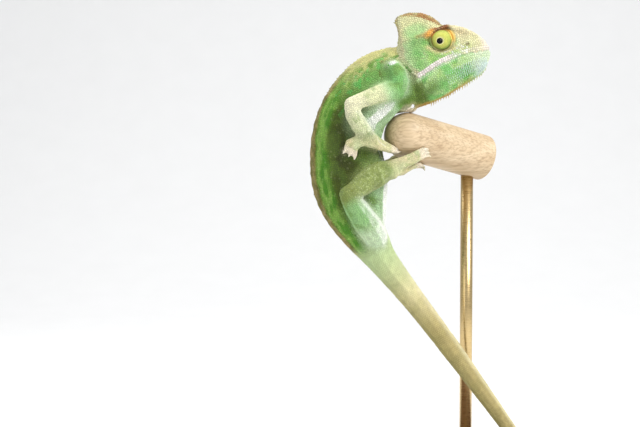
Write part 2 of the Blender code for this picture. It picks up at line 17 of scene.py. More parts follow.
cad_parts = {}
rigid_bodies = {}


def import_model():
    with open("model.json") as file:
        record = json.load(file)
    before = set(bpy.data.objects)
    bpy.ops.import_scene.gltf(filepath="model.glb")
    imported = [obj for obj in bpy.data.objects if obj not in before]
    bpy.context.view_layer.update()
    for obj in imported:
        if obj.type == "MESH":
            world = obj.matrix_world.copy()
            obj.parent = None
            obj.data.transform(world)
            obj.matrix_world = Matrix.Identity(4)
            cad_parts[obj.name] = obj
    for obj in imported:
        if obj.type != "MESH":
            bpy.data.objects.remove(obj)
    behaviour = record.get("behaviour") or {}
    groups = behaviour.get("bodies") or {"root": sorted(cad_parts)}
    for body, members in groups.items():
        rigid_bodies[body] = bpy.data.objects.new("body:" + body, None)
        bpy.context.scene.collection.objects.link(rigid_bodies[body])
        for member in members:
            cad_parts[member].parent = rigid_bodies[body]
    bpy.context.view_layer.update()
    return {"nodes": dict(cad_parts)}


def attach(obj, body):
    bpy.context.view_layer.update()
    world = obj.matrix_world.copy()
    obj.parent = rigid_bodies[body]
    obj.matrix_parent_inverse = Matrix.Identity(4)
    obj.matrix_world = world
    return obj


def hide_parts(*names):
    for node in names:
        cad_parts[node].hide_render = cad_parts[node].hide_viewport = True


for leftover in list(bpy.data.objects):
    bpy.data.objects.remove(leftover)
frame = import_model()
MM = 0.001
RANDOM = np.random.default_rng(11)

# ---------------------------------------------------------------- sizes

FLESH = [n for n in frame["nodes"] if not n.startswith(("stand_", "eye"))]

HEAD_TILT = math.radians(20)
JAW_CORNER = np.array([-4.3, 0.0, 156.4])
EYE_AT = (12.3, 9.25)
TURRET_SQUASH = 0.86
TURRET_LEAN = -0.05

TRUNK = [
    (-7.2, 0, 157.6, 11.2, 6.2),
    (-14.4, 0, 155.9, 12.2, 7.0),
    (-20.1, 0, 152.2, 12.9, 7.7),
    (-26.5, 0, 144.6, 12.7, 8.3),
    (-29.9, 0, 134.6, 12.9, 8.6),
    (-29.4, 0, 123.8, 13.8, 8.6),
    (-28.0, 0, 115.0, 13.3, 8.0),
    (-26.0, 0, 107.3, 11.2, 7.0),
    (-23.2, 0, 100.4, 8.4, 6.0),
    (-19.4, 0, 94.4, 6.6, 5.0),
]
TAIL = [
    (-19.4, 0.0, 94.4, 6.6, 5.0),
    (-16.0, 0.0, 89.6, 5.5, 4.4),
    (-5.2, 0.0, 75.9, 4.3, 3.5),
    (8.0, -0.5, 58.6, 3.8, 3.1),
    (20.6, -1.0, 41.4, 3.1, 2.6),
    (30.6, -1.5, 27.6, 2.5, 2.1),
    (37.4, -1.8, 18.8, 2.1, 1.8),
]
BELLY_TURN = math.radians(24)
CURL_RADIUS, CURL_TURNS, CURL_TIGHTENING, TAIL_TIP_RADIUS = 7.2, 1.3, 0.62, 0.5

# Lines on the side of the head, forward of and above the corner of the mouth.
MOUTH = [
    (-0.6, -0.7), (1.5, -0.3), (5.8, 0.9), (9, 1.5), (12, 1.7), (16, 1.75), (20, 1.6), (24, 0.9), (30, -0.3),
]
NOSTRIL = (20.0, 4.9)
LATERAL_RIDGE = [(-2.2, 14.2), (1.5, 13.6), (4.3, 13.5), (8.9, 12.6)]
REAR_EDGE = [(-0.6, 21.6), (-1.6, 18), (-2.6, 14), (-3.6, 9.6), (-3.6, 6.2), (-2.6, 3.0), (-0.8, 0.6)]
CHEEK_LINE = [(3.4, 11.4), (2.3, 8.0), (2.0, 3.4)]
UNDER_EYE_LINE = [(6.4, 8.4), (8.6, 6.3), (12.0, 4.9), (15.5, 5.4)]
BROW_LINE = [(7.8, 12.6), (9.4, 13.6), (12.0, 14.1), (14.8, 13.5), (17.0, 11.6)]
# Where painted shade darkens the crease behind the shoulder.
SHOULDER_CREASE = [(-17.4, 161.6), (-18.2, 158.0), (-17.6, 154.6)]  # in X and Z

# Two opposed bundles for each foot, in turn front right, front left, hind right and hind left. A row has the
# number of toes, the way they lie beside each other, their spread at palm and tips, and their middle line.
TOES = [
    (2, (0.1, 0.5, 0.85), (1.3, 0.9), [
        (-20.6, -9.6, 133.6), (-18, -7.8, 132.2), (-15.2, -5.8, 131.2), (-12.6, -4.6, 130.2),
    ]),
    (3, (0.85, -0.1, -0.5), (0.5, 1.1), [
        (-22.2, -10.6, 133.2), (-26, -11.4, 133.6), (-28.6, -11.4, 131.6), (-28.7, -10.9, 129.4),
    ]),
    (3, (0.5, 0.8, -0.2), (0.6, 1), [
        (-16.6, 6.8, 144.8), (-13.8, 3.8, 144.9), (-10.6, 1.2, 144.8), (-7.8, -0.6, 144.5),
    ]),
    (2, (0.3, 0.1, 0.95), (0.6, 1), [
        (-16.4, 9, 143.6), (-13.4, 10.6, 141.2), (-10.4, 11.4, 138.8), (-7.8, 12.4, 136.8),
    ]),
    (3, (-0.28, -0.45, 0.83), (0.5, 0.8), [
        (-14.2, -8.2, 124.6), (-10, -7.4, 125.8), (-5.9, -5.6, 127.6), (-2.4, -4.6, 129.4),
    ]),
    (2, (0.1, 0.9, -0.2), (0.6, 1), [
        (-13, -7.6, 122.6), (-9.8, -4.6, 122.8), (-6.4, -1.2, 124.4), (-3.6, 1.4, 125),
    ]),
    (3, (0.3, 0.2, 0.9), (0.6, 1), [
        (-13, 12.2, 125.2), (-9.4, 13, 127.4), (-5.9, 13.2, 129.6), (-2.7, 15.2, 131.6),
    ]),
    (2, (0.1, 0.9, 0.2), (0.6, 1), [
        (-12.8, 11.4, 124), (-9.4, 9.6, 123.8), (-6.2, 7.4, 124.4), (-3.6, 6.5, 124.5),
    ]),
]
TOE_SPACING = 1.8
CLAW_LENGTH, CLAW_RADIUS, CLAW_BEND = 3.4, 0.76, 0.4

SWELL = 0.25  # closes the gaps between solids before they are made one
VOXEL = 0.45
COAT = 0.16  # depth of the scales, by which the skin lies inside the solids
SMOOTHING = (0.5, -0.52)  # a step that evens the skin, and one back that keeps its bulk
CLEAR_OF_HEAD = 14.0  # how far to the side the rays to the head start
PATCH_RADIUS = 0.0015  # of a scale's or cone's patch on the OFBake map

# ---------------------------------------------------------------- numbers


def smooth_rows(rows, count):
    """Rows of numbers, read evenly along a smooth curve through the given ones."""
    rows = np.array(rows, float)
    ends = np.vstack([2 * rows[0] - rows[1], rows, 2 * rows[-1] - rows[-2]])
    fine = []
    for i in range(len(rows) - 1):
        a, b, c, d = ends[i : i + 4]
        for t in np.linspace(0, 1, 24, endpoint=False):
            square = (2 * a - 5 * b + 4 * c - d) * t**2
            cube = (3 * b - a - 3 * c + d) * t**3
            fine.append(0.5 * (2 * b + (c - a) * t + square + cube))
    fine = np.array(fine + [rows[-1]])
    along = run_along(fine)
    wanted = np.linspace(0, along[-1], count)
    return np.column_stack([np.interp(wanted, along, column) for column in fine.T])


def run_along(rows):
    """Distance of each row's place from the first, along the line of places."""
    steps = np.linalg.norm(np.diff(rows[:, :3], axis=0), axis=1)
    return np.concatenate([[0], np.cumsum(steps)])


def unit(v):
    return v / np.maximum(np.linalg.norm(v, axis=-1, keepdims=True), 1e-9)


def ramp(x, low, high):
    """0 below low, 1 above high, smooth between. Falls instead where low is above high."""
    t = np.clip((x - low) / (high - low), 0, 1)
    return t * t * (3 - 2 * t)


def bell(x, middle, width):
    return np.exp(-(((x - middle) / width) ** 2))


def mix(a, b, share):
    return a + (b - a) * np.asarray(share)[..., None]


def noise(points, size, seed=0):
    """Smooth noise from 0 to 1 with features of the given size."""
    p = points / size + seed * 17.31
    cell = np.floor(p).astype(np.int64)
    t = p - cell
    t = t * t * (3 - 2 * t)
    total = 0
    for corner in np.ndindex(2, 2, 2):
        h = (cell + corner) @ np.array([374761393, 668265263, 2147483647])
        h = (h ^ (h >> 13)) * 1274126177
        h = ((h ^ (h >> 16)) & 0xFFFF) / 65535.0
        near = np.where(corner, t, 1 - t)
        total = total + h * near[:, 0] * near[:, 1] * near[:, 2]
    return total


def to_head(points):
    """(forward, left, above) of points, from the corner of the mouth."""
    cos, sin = math.cos(HEAD_TILT), math.sin(HEAD_TILT)
    d = points - JAW_CORNER
    return np.column_stack([d[:, 0] * cos + d[:, 2] * sin, d[:, 1], -d[:, 0] * sin + d[:, 2] * cos])


def in_head(forward, left, above):
    cos, sin = math.cos(HEAD_TILT), math.sin(HEAD_TILT)
    x, y, z = JAW_CORNER
    return np.array([x + forward * cos - above * sin, y + left, z + forward * sin + above * cos])


def way_in_head(forward, left, above):
    return in_head(forward, left, above) - JAW_CORNER


# ---------------------------------------------------------------- spine


def make_spine():
    """Samples from the neck to the tail's tip: place, half height, half width, side, up and way."""
    tail = [list(row) for row in TAIL]
    last, before = np.array(tail[-1]), np.array(tail[-2])
    heading = math.atan2(last[2] - before[2], last[0] - before[0])
    x, y, z, half, width = last
    steps = 20
    for step in range(1, steps + 1):
        share = step / steps
        turn = 2 * math.pi * CURL_TURNS / steps
        heading += turn
        radius = CURL_RADIUS * (1 - CURL_TIGHTENING * share)
        x += radius * turn * math.cos(heading)
        z += radius * turn * math.sin(heading)
        thin = (1 - share) ** 0.8
        tail.append([x, y, z, *(TAIL_TIP_RADIUS + (r - TAIL_TIP_RADIUS) * thin for r in (half, width))])
    trunk, tail = smooth_rows(TRUNK, 130), smooth_rows(tail, 250)
    rows = np.vstack([trunk, tail[1:]])
    ways = unit(np.gradient(rows[:, :3], axis=0))
    left = np.array([0.0, 1.0, 0.0])
    sides = unit(left - ways * (ways @ left)[:, None])
    ups = np.cross(sides, ways)
    turn = np.zeros(len(rows))
    turn[: len(trunk)] = BELLY_TURN * np.linspace(1, 0, len(trunk)) ** 0.8
    cos, sin = np.cos(turn)[:, None], np.sin(turn)[:, None]
    spine = {"at": rows[:, :3], "half": rows[:, 3], "width": rows[:, 4], "way": ways, "s": run_along(rows)}
    spine.update(side=sides * cos - ups * sin, up=ups * cos + sides * sin, vent=spine["s"][len(trunk) - 1])
    return spine


SPINE = make_spine()


def spine_at(s):
    """Place, way, up, side, half height and half width at a distance along the spine."""
    found = []
    for key in ("at", "way", "up", "side"):
        found.append(np.array([np.interp(s, SPINE["s"], column) for column in SPINE[key].T]))
    return (*found, *(np.interp(s, SPINE["s"], SPINE[key]) for key in ("half", "width")))


def belly_twist(s):
    """How far the skin of the chest is turned further towards the right side than the trunk."""
    return math.radians(34) * ramp(s, 52, 24) + math.radians(12) * bell(s, 30, 8)


def to_spine(points):
    """Distance along from the neck, and places left of and above the spine as shares of the half sizes."""
    best = np.full(len(points), 1e9)
    which = np.zeros(len(points), int)
    for i in range(len(SPINE["at"])):
        d = ((points - SPINE["at"][i]) ** 2).sum(1)
        nearer = d < best
        best[nearer] = d[nearer]
        which[nearer] = i
    off = points - SPINE["at"][which]
    side = (off * SPINE["side"][which]).sum(1) / SPINE["width"][which]
    up = (off * SPINE["up"][which]).sum(1) / SPINE["half"][which]
    s = SPINE["s"][which] + (off * SPINE["way"][which]).sum(1)
    return s, side, up


def toe_ends():
    """The end of each toe, and the way it points."""
    for toes, beside, spread, path in TOES:
        middle = smooth_rows([(*p, 0) for p in path], 4)[:, :3]
        beside = unit(np.array(beside))
        for k in range(toes):
            row = middle + np.linspace(*spread, 4)[:, None] * beside * TOE_SPACING * (k - (toes - 1) / 2)
            yield row[-1], unit(row[-1] - row[-2])


# ---------------------------------------------------------------- meshes


def new_object(name, data):
    obj = bpy.data.objects.new(name, data)
    bpy.context.scene.collection.objects.link(obj)
    return obj


def mesh_object(name, verts, groups):
    """An object from points in millimetres and arrays of faces, one array for each number of corners."""
    mesh = bpy.data.meshes.new(name)
    mesh.vertices.add(len(verts))
    set_points(mesh, np.asarray(verts))
    loops = np.concatenate([g.ravel() for g in groups])
    sizes = np.concatenate([np.full(len(g), g.shape[1]) for g in groups])
    mesh.loops.add(len(loops))
    mesh.loops.foreach_set("vertex_index", loops.astype(np.int32))
    mesh.polygons.add(len(sizes))
    mesh.polygons.foreach_set("loop_start", np.concatenate([[0], np.cumsum(sizes)[:-1]]).astype(np.int32))
    mesh.update(calc_edges=True)
    mesh.polygons.foreach_set("use_smooth", np.ones(len(sizes), bool))
    return new_object(name, mesh)


def tube_faces(rings, around):
    """Quads between rings of points, each ring with the same number."""
    index = np.arange(rings * around).reshape(rings, around)
    following = np.roll(index, -1, axis=1)
    return np.stack([index[:-1], following[:-1], following[1:], index[1:]], axis=2).reshape(-1, 4)


def pointed_faces(count, rings, around):
    """Faces of many tubes in one mesh, where each has its rings of points and then a tip."""
    last = np.arange(around) + around * (rings - 1)
    tips = np.column_stack([last, np.roll(last, -1), np.full(around, around * rings)])
    start = (np.arange(count) * (around * rings + 1))[:, None, None]
    return [(start + faces).reshape(-1, faces.shape[1]) for faces in (tube_faces(rings, around), tips)]


def turn_outwards(obj):
    """Turns the faces of a closed mesh outwards."""
    bm = bmesh.new()
    bm.from_mesh(obj.data)
    bmesh.ops.recalc_face_normals(bm, faces=bm.faces)
    bm.to_mesh(obj.data)
    bm.free()
    return obj


def read(items, key, width=1, kind=np.int32):
    """One property of all the items of a mesh."""
    values = np.empty(len(items) * width, kind)
    items.foreach_get(key, values)
    return values.reshape(-1, width) if width > 1 else values


def points_of(mesh):
    return read(mesh.vertices, "co", 3, np.float32).astype(float) / MM


def normals_of(mesh):
    return read(mesh.vertex_normals, "vector", 3, np.float32).astype(float)


def set_points(mesh, points):
    mesh.vertices.foreach_set("co", (points * MM).astype(np.float32).ravel())
    mesh.update()


def set_marks(mesh, colours):
    """The markings, one colour for each point."""
    layer = mesh.color_attributes.new("marks", "FLOAT_COLOR", "POINT")
    colours = np.column_stack([colours, np.ones(len(colours))])
    layer.data.foreach_set("color", colours.astype(np.float32).ravel())


def edges_of(mesh):
    return read(mesh.edges, "vertices", 2)


def relax(points, edges, rounds, weights, mask=1.0):
    """Moves points towards the middle of their neighbours, by each weight in turn."""
    count = len(points)
    a, b = edges[:, 0], edges[:, 1]
    degree = np.bincount(a, minlength=count) + np.bincount(b, minlength=count)
    for weight in weights * rounds:
        total = [np.bincount(a, points[b, k], count) + np.bincount(b, points[a, k], count) for k in range(3)]
        step = np.column_stack(total) / np.maximum(degree, 1)[:, None] - points
        points = points + step * (weight * np.asarray(mask)[..., None])
    return points


# ---------------------------------------------------------------- the skin


def joined_flesh():
    """All solids of flesh in one mesh, a little swollen so that they meet, and each face's node."""
    verts, faces, nodes = [], [], []
    start = 0
    for index, name in enumerate(FLESH):
        bm = bmesh.new()
        bm.from_mesh(frame["nodes"][name].data)
        bmesh.ops.remove_doubles(bm, verts=bm.verts, dist=1e-6)
        bmesh.ops.triangulate(bm, faces=bm.faces)
        bm.normal_update()
        bm.verts.index_update()
        for v in bm.verts:
            verts.append(np.array(v.co) / MM + np.array(v.normal) * SWELL * min(v.calc_shell_factor(), 1.5))
        for f in bm.faces:
            faces.append([v.index + start for v in f.verts])
            nodes.append(index)
        start += len(bm.verts)
        bm.free()
    return np.array(verts), np.array(faces), np.array(nodes)


def make_skin():
    """One mesh round all the flesh, without seams, and the node that each of its points came from."""
    verts, faces, nodes = joined_flesh()
    flesh_tree = BVHTree.FromPolygons([Vector(v) for v in verts], faces.tolist())
    obj = mesh_object("flesh", verts, [faces])
    modifier = obj.modifiers.new("one", "REMESH")
    modifier.mode = "VOXEL"
    modifier.voxel_size = VOXEL * MM
    mesh = bpy.data.meshes.new_from_object(obj.evaluated_get(bpy.context.evaluated_depsgraph_get()))
    bpy.data.objects.remove(obj)
    keep_biggest(mesh)
    points, edges = points_of(mesh), edges_of(mesh)
    points = relax(points, edges, 6, SMOOTHING)
    label = np.array([nodes[flesh_tree.find_nearest(Vector(p))[2]] for p in points])
    seam = label[edges[:, 0]] != label[edges[:, 1]]
    mask = np.zeros(len(points))
    mask[edges[seam].ravel()] = 1
    mask = relax(np.column_stack([mask] * 3), edges, 5, (0.6,))[:, 0]
    mask = np.clip(mask * 2.2, 0, 1)
    mask[is_node(label, "head", "lower_jaw")] *= 0.25
    points = relax(points, edges, 8, (0.6,), mask)
    set_points(mesh, points)
    points = points - normals_of(mesh) * (SWELL + COAT)
    points = relax(points, edges, 3, SMOOTHING)
    set_points(mesh, points)
    return mesh, label


def keep_biggest(mesh):
    """Deletes all but the biggest connected part of a mesh."""
    bm = bmesh.new()
    bm.from_mesh(mesh)
    biggest = max(islands(bm), key=len)
    bmesh.ops.delete(bm, geom=[v for v in bm.verts if v not in biggest], context="VERTS")
    bm.to_mesh(mesh)
    bm.free()


def islands(bm):
    """The sets of connected points."""
    left, found = set(bm.verts), []
    while left:
        island, front = set(), [left.pop()]
        while front:
            vert = front.pop()
            island.add(vert)
            others = {edge.other_vert(vert) for edge in vert.link_edges} & left
            left -= others
            front.extend(others)
        found.append(island)
    return found


def mouth_height(forward):
    knots = np.array(MOUTH)
    return np.interp(forward, knots[:, 0], knots[:, 1])


def is_node(label, *starts):
    """Whether the label's node has a name with one of these starts."""
    return np.isin(label, [i for i, n in enumerate(FLESH) if n.startswith(starts)])


def line_distance(at, knots):
    """Distance of 2-D places from a broken line."""
    best = np.full(len(at), 1e9)
    knots = np.array(knots, float)
    for a, b in zip(knots[:-1], knots[1:]):
        t = np.clip(((at - a) @ (b - a)) / ((b - a) @ (b - a)), 0, 1)
        best = np.minimum(best, np.linalg.norm(at - a - t[:, None] * (b - a), axis=1))
    return best


def folds(points, label):
    """How far the skin's folds, lips, rims and hollows move it out, in millimetres."""
    h = to_head(points)
    f, side, u = h[:, 0], np.abs(h[:, 1]), h[:, 2]
    head, jaw = is_node(label, "head"), is_node(label, "lower_jaw")
    lip = u - mouth_height(f)
    on_mouth = ramp(f, -1.2, 0.6) * (head | jaw)
    out = on_mouth * (0.24 * bell(lip, 1.0, 0.7) + 0.16 * bell(lip, -0.9, 0.6) - 0.25 * bell(lip, 0, 0.3))
    out -= head * 0.75 * bell(np.hypot(f - 5.2, u - 16.2), 0, 3.6) * (side > 0.8)
    ridge = line_distance(np.column_stack([f, u]), LATERAL_RIDGE)
    out += head * 0.38 * bell(ridge, 0, 0.8) * ramp(side, 1.5, 3)
    rim = np.hypot(f - EYE_AT[0] + 0.35, u - EYE_AT[1])
    out += head * (0.28 * bell(rim, 5.5, 0.6)) * ramp(side, 3, 4.5)
    nose = np.hypot(f - NOSTRIL[0], u - NOSTRIL[1])
    out += head * ramp(side, 1.5, 2.5) * (0.2 * bell(nose, 1.0, 0.4) - 0.7 * bell(nose, 0, 0.45))
    out += head * 0.25 * bell(np.hypot(f - 3, u - 8.5), 0, 3.2)
    out += jaw * 0.07 * np.sin(lip * 2 * math.pi / 1.7) * ramp(lip, -1.6, -3)
    s, across, up = to_spine(points)
    trunk, neck = is_node(label, "trunk"), is_node(label, "neck")
    flank = trunk * ramp(np.abs(across), 0.3, 0.7) * ramp(s, 10, 22) * ramp(s, 78, 66)
    out += flank * 0.07 * np.sin(s * 2 * math.pi / 3.4)
    soft = noise(points * [1, 1, 0.45], 1.6, 3) - 0.5
    loose = (trunk | neck) * ramp(up, 0.1, -0.7) + is_node(label, "leg_") * 0.5 + neck * 0.5
    out += 0.3 * loose * soft
    return out + 0.1 * (noise(points, 2.4, 5) - 0.5)


def finish_skin(mesh, label):
    """Sculpts the folds, and evens the back's ridge, where the solid has only coarse teeth."""
    points, edges = points_of(mesh), edges_of(mesh)
    _, across, up = to_spine(points)
    ridge = is_node(label, "trunk", "neck") * ramp(up, 0.8, 1.0) * ramp(np.abs(across), 0.5, 0.25)
    points = relax(points, edges, 14, (0.6,), ridge)
    set_points(mesh, points)
    points = points + normals_of(mesh) * folds(points, label)[:, None]
    set_points(mesh, relax(points, edges, 1, (0.4, -0.42)))


# ---------------------------------------------------------------- markings


def tone(r, g, b):
    """A colour as it is named on a screen, 0 to 255, as light."""
    c = np.array([r, g, b]) / 255
    return np.where(c < 0.04045, c / 12.92, ((c + 0.055) / 1.055) ** 2.4)


TAN = tone(150, 134, 80)
NAPE = tone(206, 198, 136)
BACK_OLIVE = tone(112, 108, 50)
LIME = tone(160, 196, 96)
BRIGHT_GREEN = tone(78, 138, 34)
LEAF = tone(110, 146, 62)
OLIVE = tone(82, 102, 28)
DEEP_OLIVE_AND_SHADOW = tone(62, 68, 16)
MINT = tone(166, 206, 150)
SPRING = tone(126, 200, 116)
PALE = tone(206, 218, 168)
CREAM = tone(222, 212, 172)
WHITE = tone(236, 238, 232)
STRAW = tone(208, 200, 148)
TAIL_OLIVE = tone(156, 150, 92)
BROWN = tone(140, 92, 46)
RUST = tone(184, 116, 58)
BEIGE = tone(198, 184, 152)
LIP = tone(230, 212, 214)
SNOUT = tone(218, 206, 166)
CHEEK = tone(106, 176, 88)
JAW = tone(128, 184, 106)
AMBER = tone(222, 164, 56)
LID = tone(208, 210, 104)
GRANULE = tone(222, 226, 180)
SPOT_GREEN = tone(84, 178, 82)
BELLY_GREY = tone(180, 196, 172)
UNDER_EYE = tone(210, 200, 146)
BROW_ORANGE = tone(226, 160, 72)
BROW_BROWN_AND_SHADE = tone(132, 62, 0)
IVORY = tone(244, 238, 206)
KNEE = tone(126, 130, 60)
CLAW_CREAM = tone(240, 228, 205)
PUPIL = tone(5, 4, 3)
EYE_RING = tone(96, 68, 26)
EYE_BROWN = tone(44, 34, 18)


def trunk_marks(points, s, across, up):
    """Tan back edge, bright green band with lime streaks, dark flank deepened by painted shadow, pale belly
    with a white stripe.
    """
    t = up + 0.12 * (noise(points, 3.0, 1) - 0.5)
    streak = noise(points * [0.9, 0.9, 0.28], 1.3, 2)
    # Between the legs the flank is darkest: partly its own dark olive, partly painted shadow of the arm and
    # hand.
    flank = mix(OLIVE, DEEP_OLIVE_AND_SHADOW, bell(s, 40, 16) * ramp(t, 0.45, 0.1) * ramp(t, -0.75, -0.35) * 0.9)
    flank = mix(flank, LEAF, ramp(noise(points, 2.2, 7), 0.5, 0.8) * 0.3)
    flank = mix(flank, mix(LEAF, SPRING, 0.35), ramp(s, 27, 15) * 0.9)
    flank = mix(flank, mix(LEAF, OLIVE, 0.8), ramp(s, 60, 78) * 0.75)
    band = mix(BRIGHT_GREEN, LIME, ramp(streak, 0.45, 0.85) * 0.55)
    c = mix(flank, band, ramp(t, 0.28, 0.5))
    c = mix(c, LIME, bell(t, 0.7, 0.05) * 0.6)
    c = mix(c, mix(TAN, BACK_OLIVE, ramp(noise(points, 1.5, 4), 0.3, 0.7)), ramp(t, 0.74, 0.83))
    mottled = mix(LEAF, NAPE, ramp(noise(points, 1.8, 9), 0.4, 0.65) * 0.8)
    mottled = mix(mottled, PALE, ramp(noise(points, 1.2, 11), 0.6, 0.8) * 0.5)
    c = mix(c, mottled, ramp(s, 26, 10) * ramp(t, 0.1, 0.5) * 0.85)
    c = mix(c, NAPE, ramp(s, 24, 10) * ramp(t, 0.45, 0.75) * 0.8)
    spots = ramp(noise(points, 1.4, 13), 0.62, 0.76) * ramp(s, 36, 16)
    c = mix(c, SPOT_GREEN, spots * ramp(t, -0.1, 0.2) * ramp(t, 0.75, 0.55) * 0.7)
    # The trunk's middle, where painted shadow keeps the pale belly and the white stripe dark.
    middle = bell(s, 41, 9)
    lower = mix(LEAF, MINT, ramp(noise(points, 1.8, 15), 0.3, 0.7))
    c = mix(c, lower, ramp(t, -0.3, -0.65) * ramp(s, 10, 18) * (1 - 0.85 * middle))
    turn = np.arctan2(-across, -up) - belly_twist(s)
    stripe = np.abs(np.arctan2(np.sin(turn), np.cos(turn)))
    c = mix(c, mix(MINT, BELLY_GREY, 0.6), ramp(stripe, 1.0, 0.5) * ramp(s, 8, 14) * 0.7 * (1 - middle))
    wide = 0.2 + 0.25 * ramp(s, 50, 60)
    return mix(c, WHITE, ramp(stripe, wide, wide - 0.08) * ramp(s, 9, 15) * (1 - 0.9 * middle))


def tail_marks(points, s, up):
    """Cream and olive in faint rings, greener where the tail leaves the trunk, pale below."""
    along = (s - SPINE["vent"]) / (SPINE["s"][-1] - SPINE["vent"])
    rings = 0.5 + 0.5 * np.sin(along * 2 * math.pi * 11 + 2.0 * noise(points, 5, 21))
    c = mix(tone(226, 216, 166), tone(182, 166, 112), ramp(along, 0.12, 0.28))
    c = mix(c, TAIL_OLIVE, ramp(up, -0.2, 0.9) * 0.6)
    c = mix(c, TAIL_OLIVE * 0.9, ramp(rings, 0.75, 1.0) * 0.22)
    c = mix(c, CREAM, ramp(up, -0.4, -0.9) * 0.7)
    return mix(c, mix(MINT, STRAW, 0.3), ramp(along, 0.18, 0.0) * 0.85)


def casque_marks(f, side, u, grain, blotch):
    """The upper head behind the snout: pale green cheeks and temple, and a beige rear border."""
    at = np.column_stack([f, u])
    temple = ramp(np.hypot((f - 4.6) / 1.4, u - 15.4), 4.2, 1.5) * (0.4 + 0.6 * blotch)
    c = mix(tone(214, 212, 164), tone(166, 216, 146), temple)
    c = mix(c, mix(MINT, PALE, 0.3), ramp(u, 14, 12) * 0.8)
    cheek = line_distance(at, CHEEK_LINE)
    c = mix(c, mix(CHEEK, tone(142, 186, 110), blotch), bell(cheek, 0, 3.0) * 0.85)
    c = mix(c, mix(CHEEK, LIME, blotch), ramp(u, 12.5, 11) * ramp(f, 3.5, 6) * ramp(f, 19, 12) * 0.8)
    return mix(c, BEIGE, bell(np.hypot(f - 3.2, u - 6.2), 0, 1.5) * ramp(grain, 0.4, 0.7) * 0.8)


def brow_and_crest_marks(c, f, side, u, grain, blotch):
    """The pale line under the eye, browns over it, partly painted brow shade, and the rusty edge of the
    casque.
    """
    at = np.column_stack([f, u])
    c = mix(c, UNDER_EYE, bell(line_distance(at, UNDER_EYE_LINE), 0, 0.95) * 0.95)
    on_side = ramp(side, 2.5, 4.0)
    c = mix(c, mix(TAN, RUST, 0.35), bell(line_distance(at, LATERAL_RIDGE[2:]), 0, 0.9) * on_side * 0.6)
    # Orange of the brow, turning to dark brown that is partly painted shade under the brow ridge.
    browns = mix(BROW_ORANGE, BROW_BROWN_AND_SHADE, ramp(grain, 0.05, 0.25) * ramp(f, 9.4, 11.5))
    c = mix(c, browns, bell(line_distance(at, BROW_LINE), 0, 1.35) * on_side * ramp(f, 17.5, 15) * 0.95)
    brown = mix(TAN, mix(RUST, BROWN, 0.5), ramp(grain, 0.5, 0.72) * 0.75)
    c = mix(c, brown, ramp(side, 2.4, 1.2) * ramp(u, 12.0, 14.0) * ramp(f, 11.5, 14) * 0.85)
    edge = 23.2 - 0.045 * np.maximum(f - 1, 0) ** 2.05
    crest = ramp(u - edge, -1.7, -0.7) * ramp(f, 0.0, 3.0) * ramp(f, 15, 12)
    c = mix(c, brown, crest * (0.5 + 0.4 * grain))
    c = mix(c, mix(RUST, BROWN, grain), crest * ramp(blotch, 0.5, 0.62) * ramp(f, 4.0, 6.0) * 0.7)
    rear = line_distance(at, REAR_EDGE)
    c = mix(c, mix(BEIGE, PALE, blotch * 0.6), ramp(rear + grain, 2.5, 1.6) * 0.85)
    return mix(c, TAN, ramp(rear, 1.0, 0.4) * ramp(u, 14, 18) * 0.6)


def jaw_marks(f, side, below, grain, blotch):
    """The lower jaw and throat: green with pale blotches, painted olive shade at the rear, tan under the
    chin, painted light in front.
    """
    c = mix(mix(JAW, SPRING, 0.4), tone(190, 214, 156), ramp(blotch, 0.35, 0.6) * 0.8)
    c = mix(c, LIME, ramp(grain, 0.62, 0.78) * 0.4)
    # Painted light: the front of the chin is paled here and tinted bluish below.
    c = mix(c, tone(212, 226, 194), ramp(f, 17, 23) * 0.85)
    c = mix(c, tone(112, 172, 92), bell(below, 6.4, 2.4) * ramp(f, 22, 16) * 0.65)
    # Painted shade: olive at the corner of the mouth and at the rear of the throat.
    corner = ramp(f, 2.2, -0.6) * ramp(below, 0.4, 2.0)
    shade = np.maximum(corner, ramp(f, 9.0, 2.0) * bell(below, 5.6, 2.2) * 0.75)
    c = mix(c, mix(tone(82, 98, 28), LEAF, 0.35 * blotch), shade * 0.9)
    c = mix(c, tone(184, 150, 74), ramp(side, 3.8, 1.6) * ramp(f, 21, 12) * 0.9)
    # Painted bluish light low on the front of the chin.
    bluish = ramp(f, 17, 22) * bell(side, 2.2, 1.4) * ramp(below, 3, 4.5)
    return mix(c, tone(196, 216, 226), bluish * 0.6)


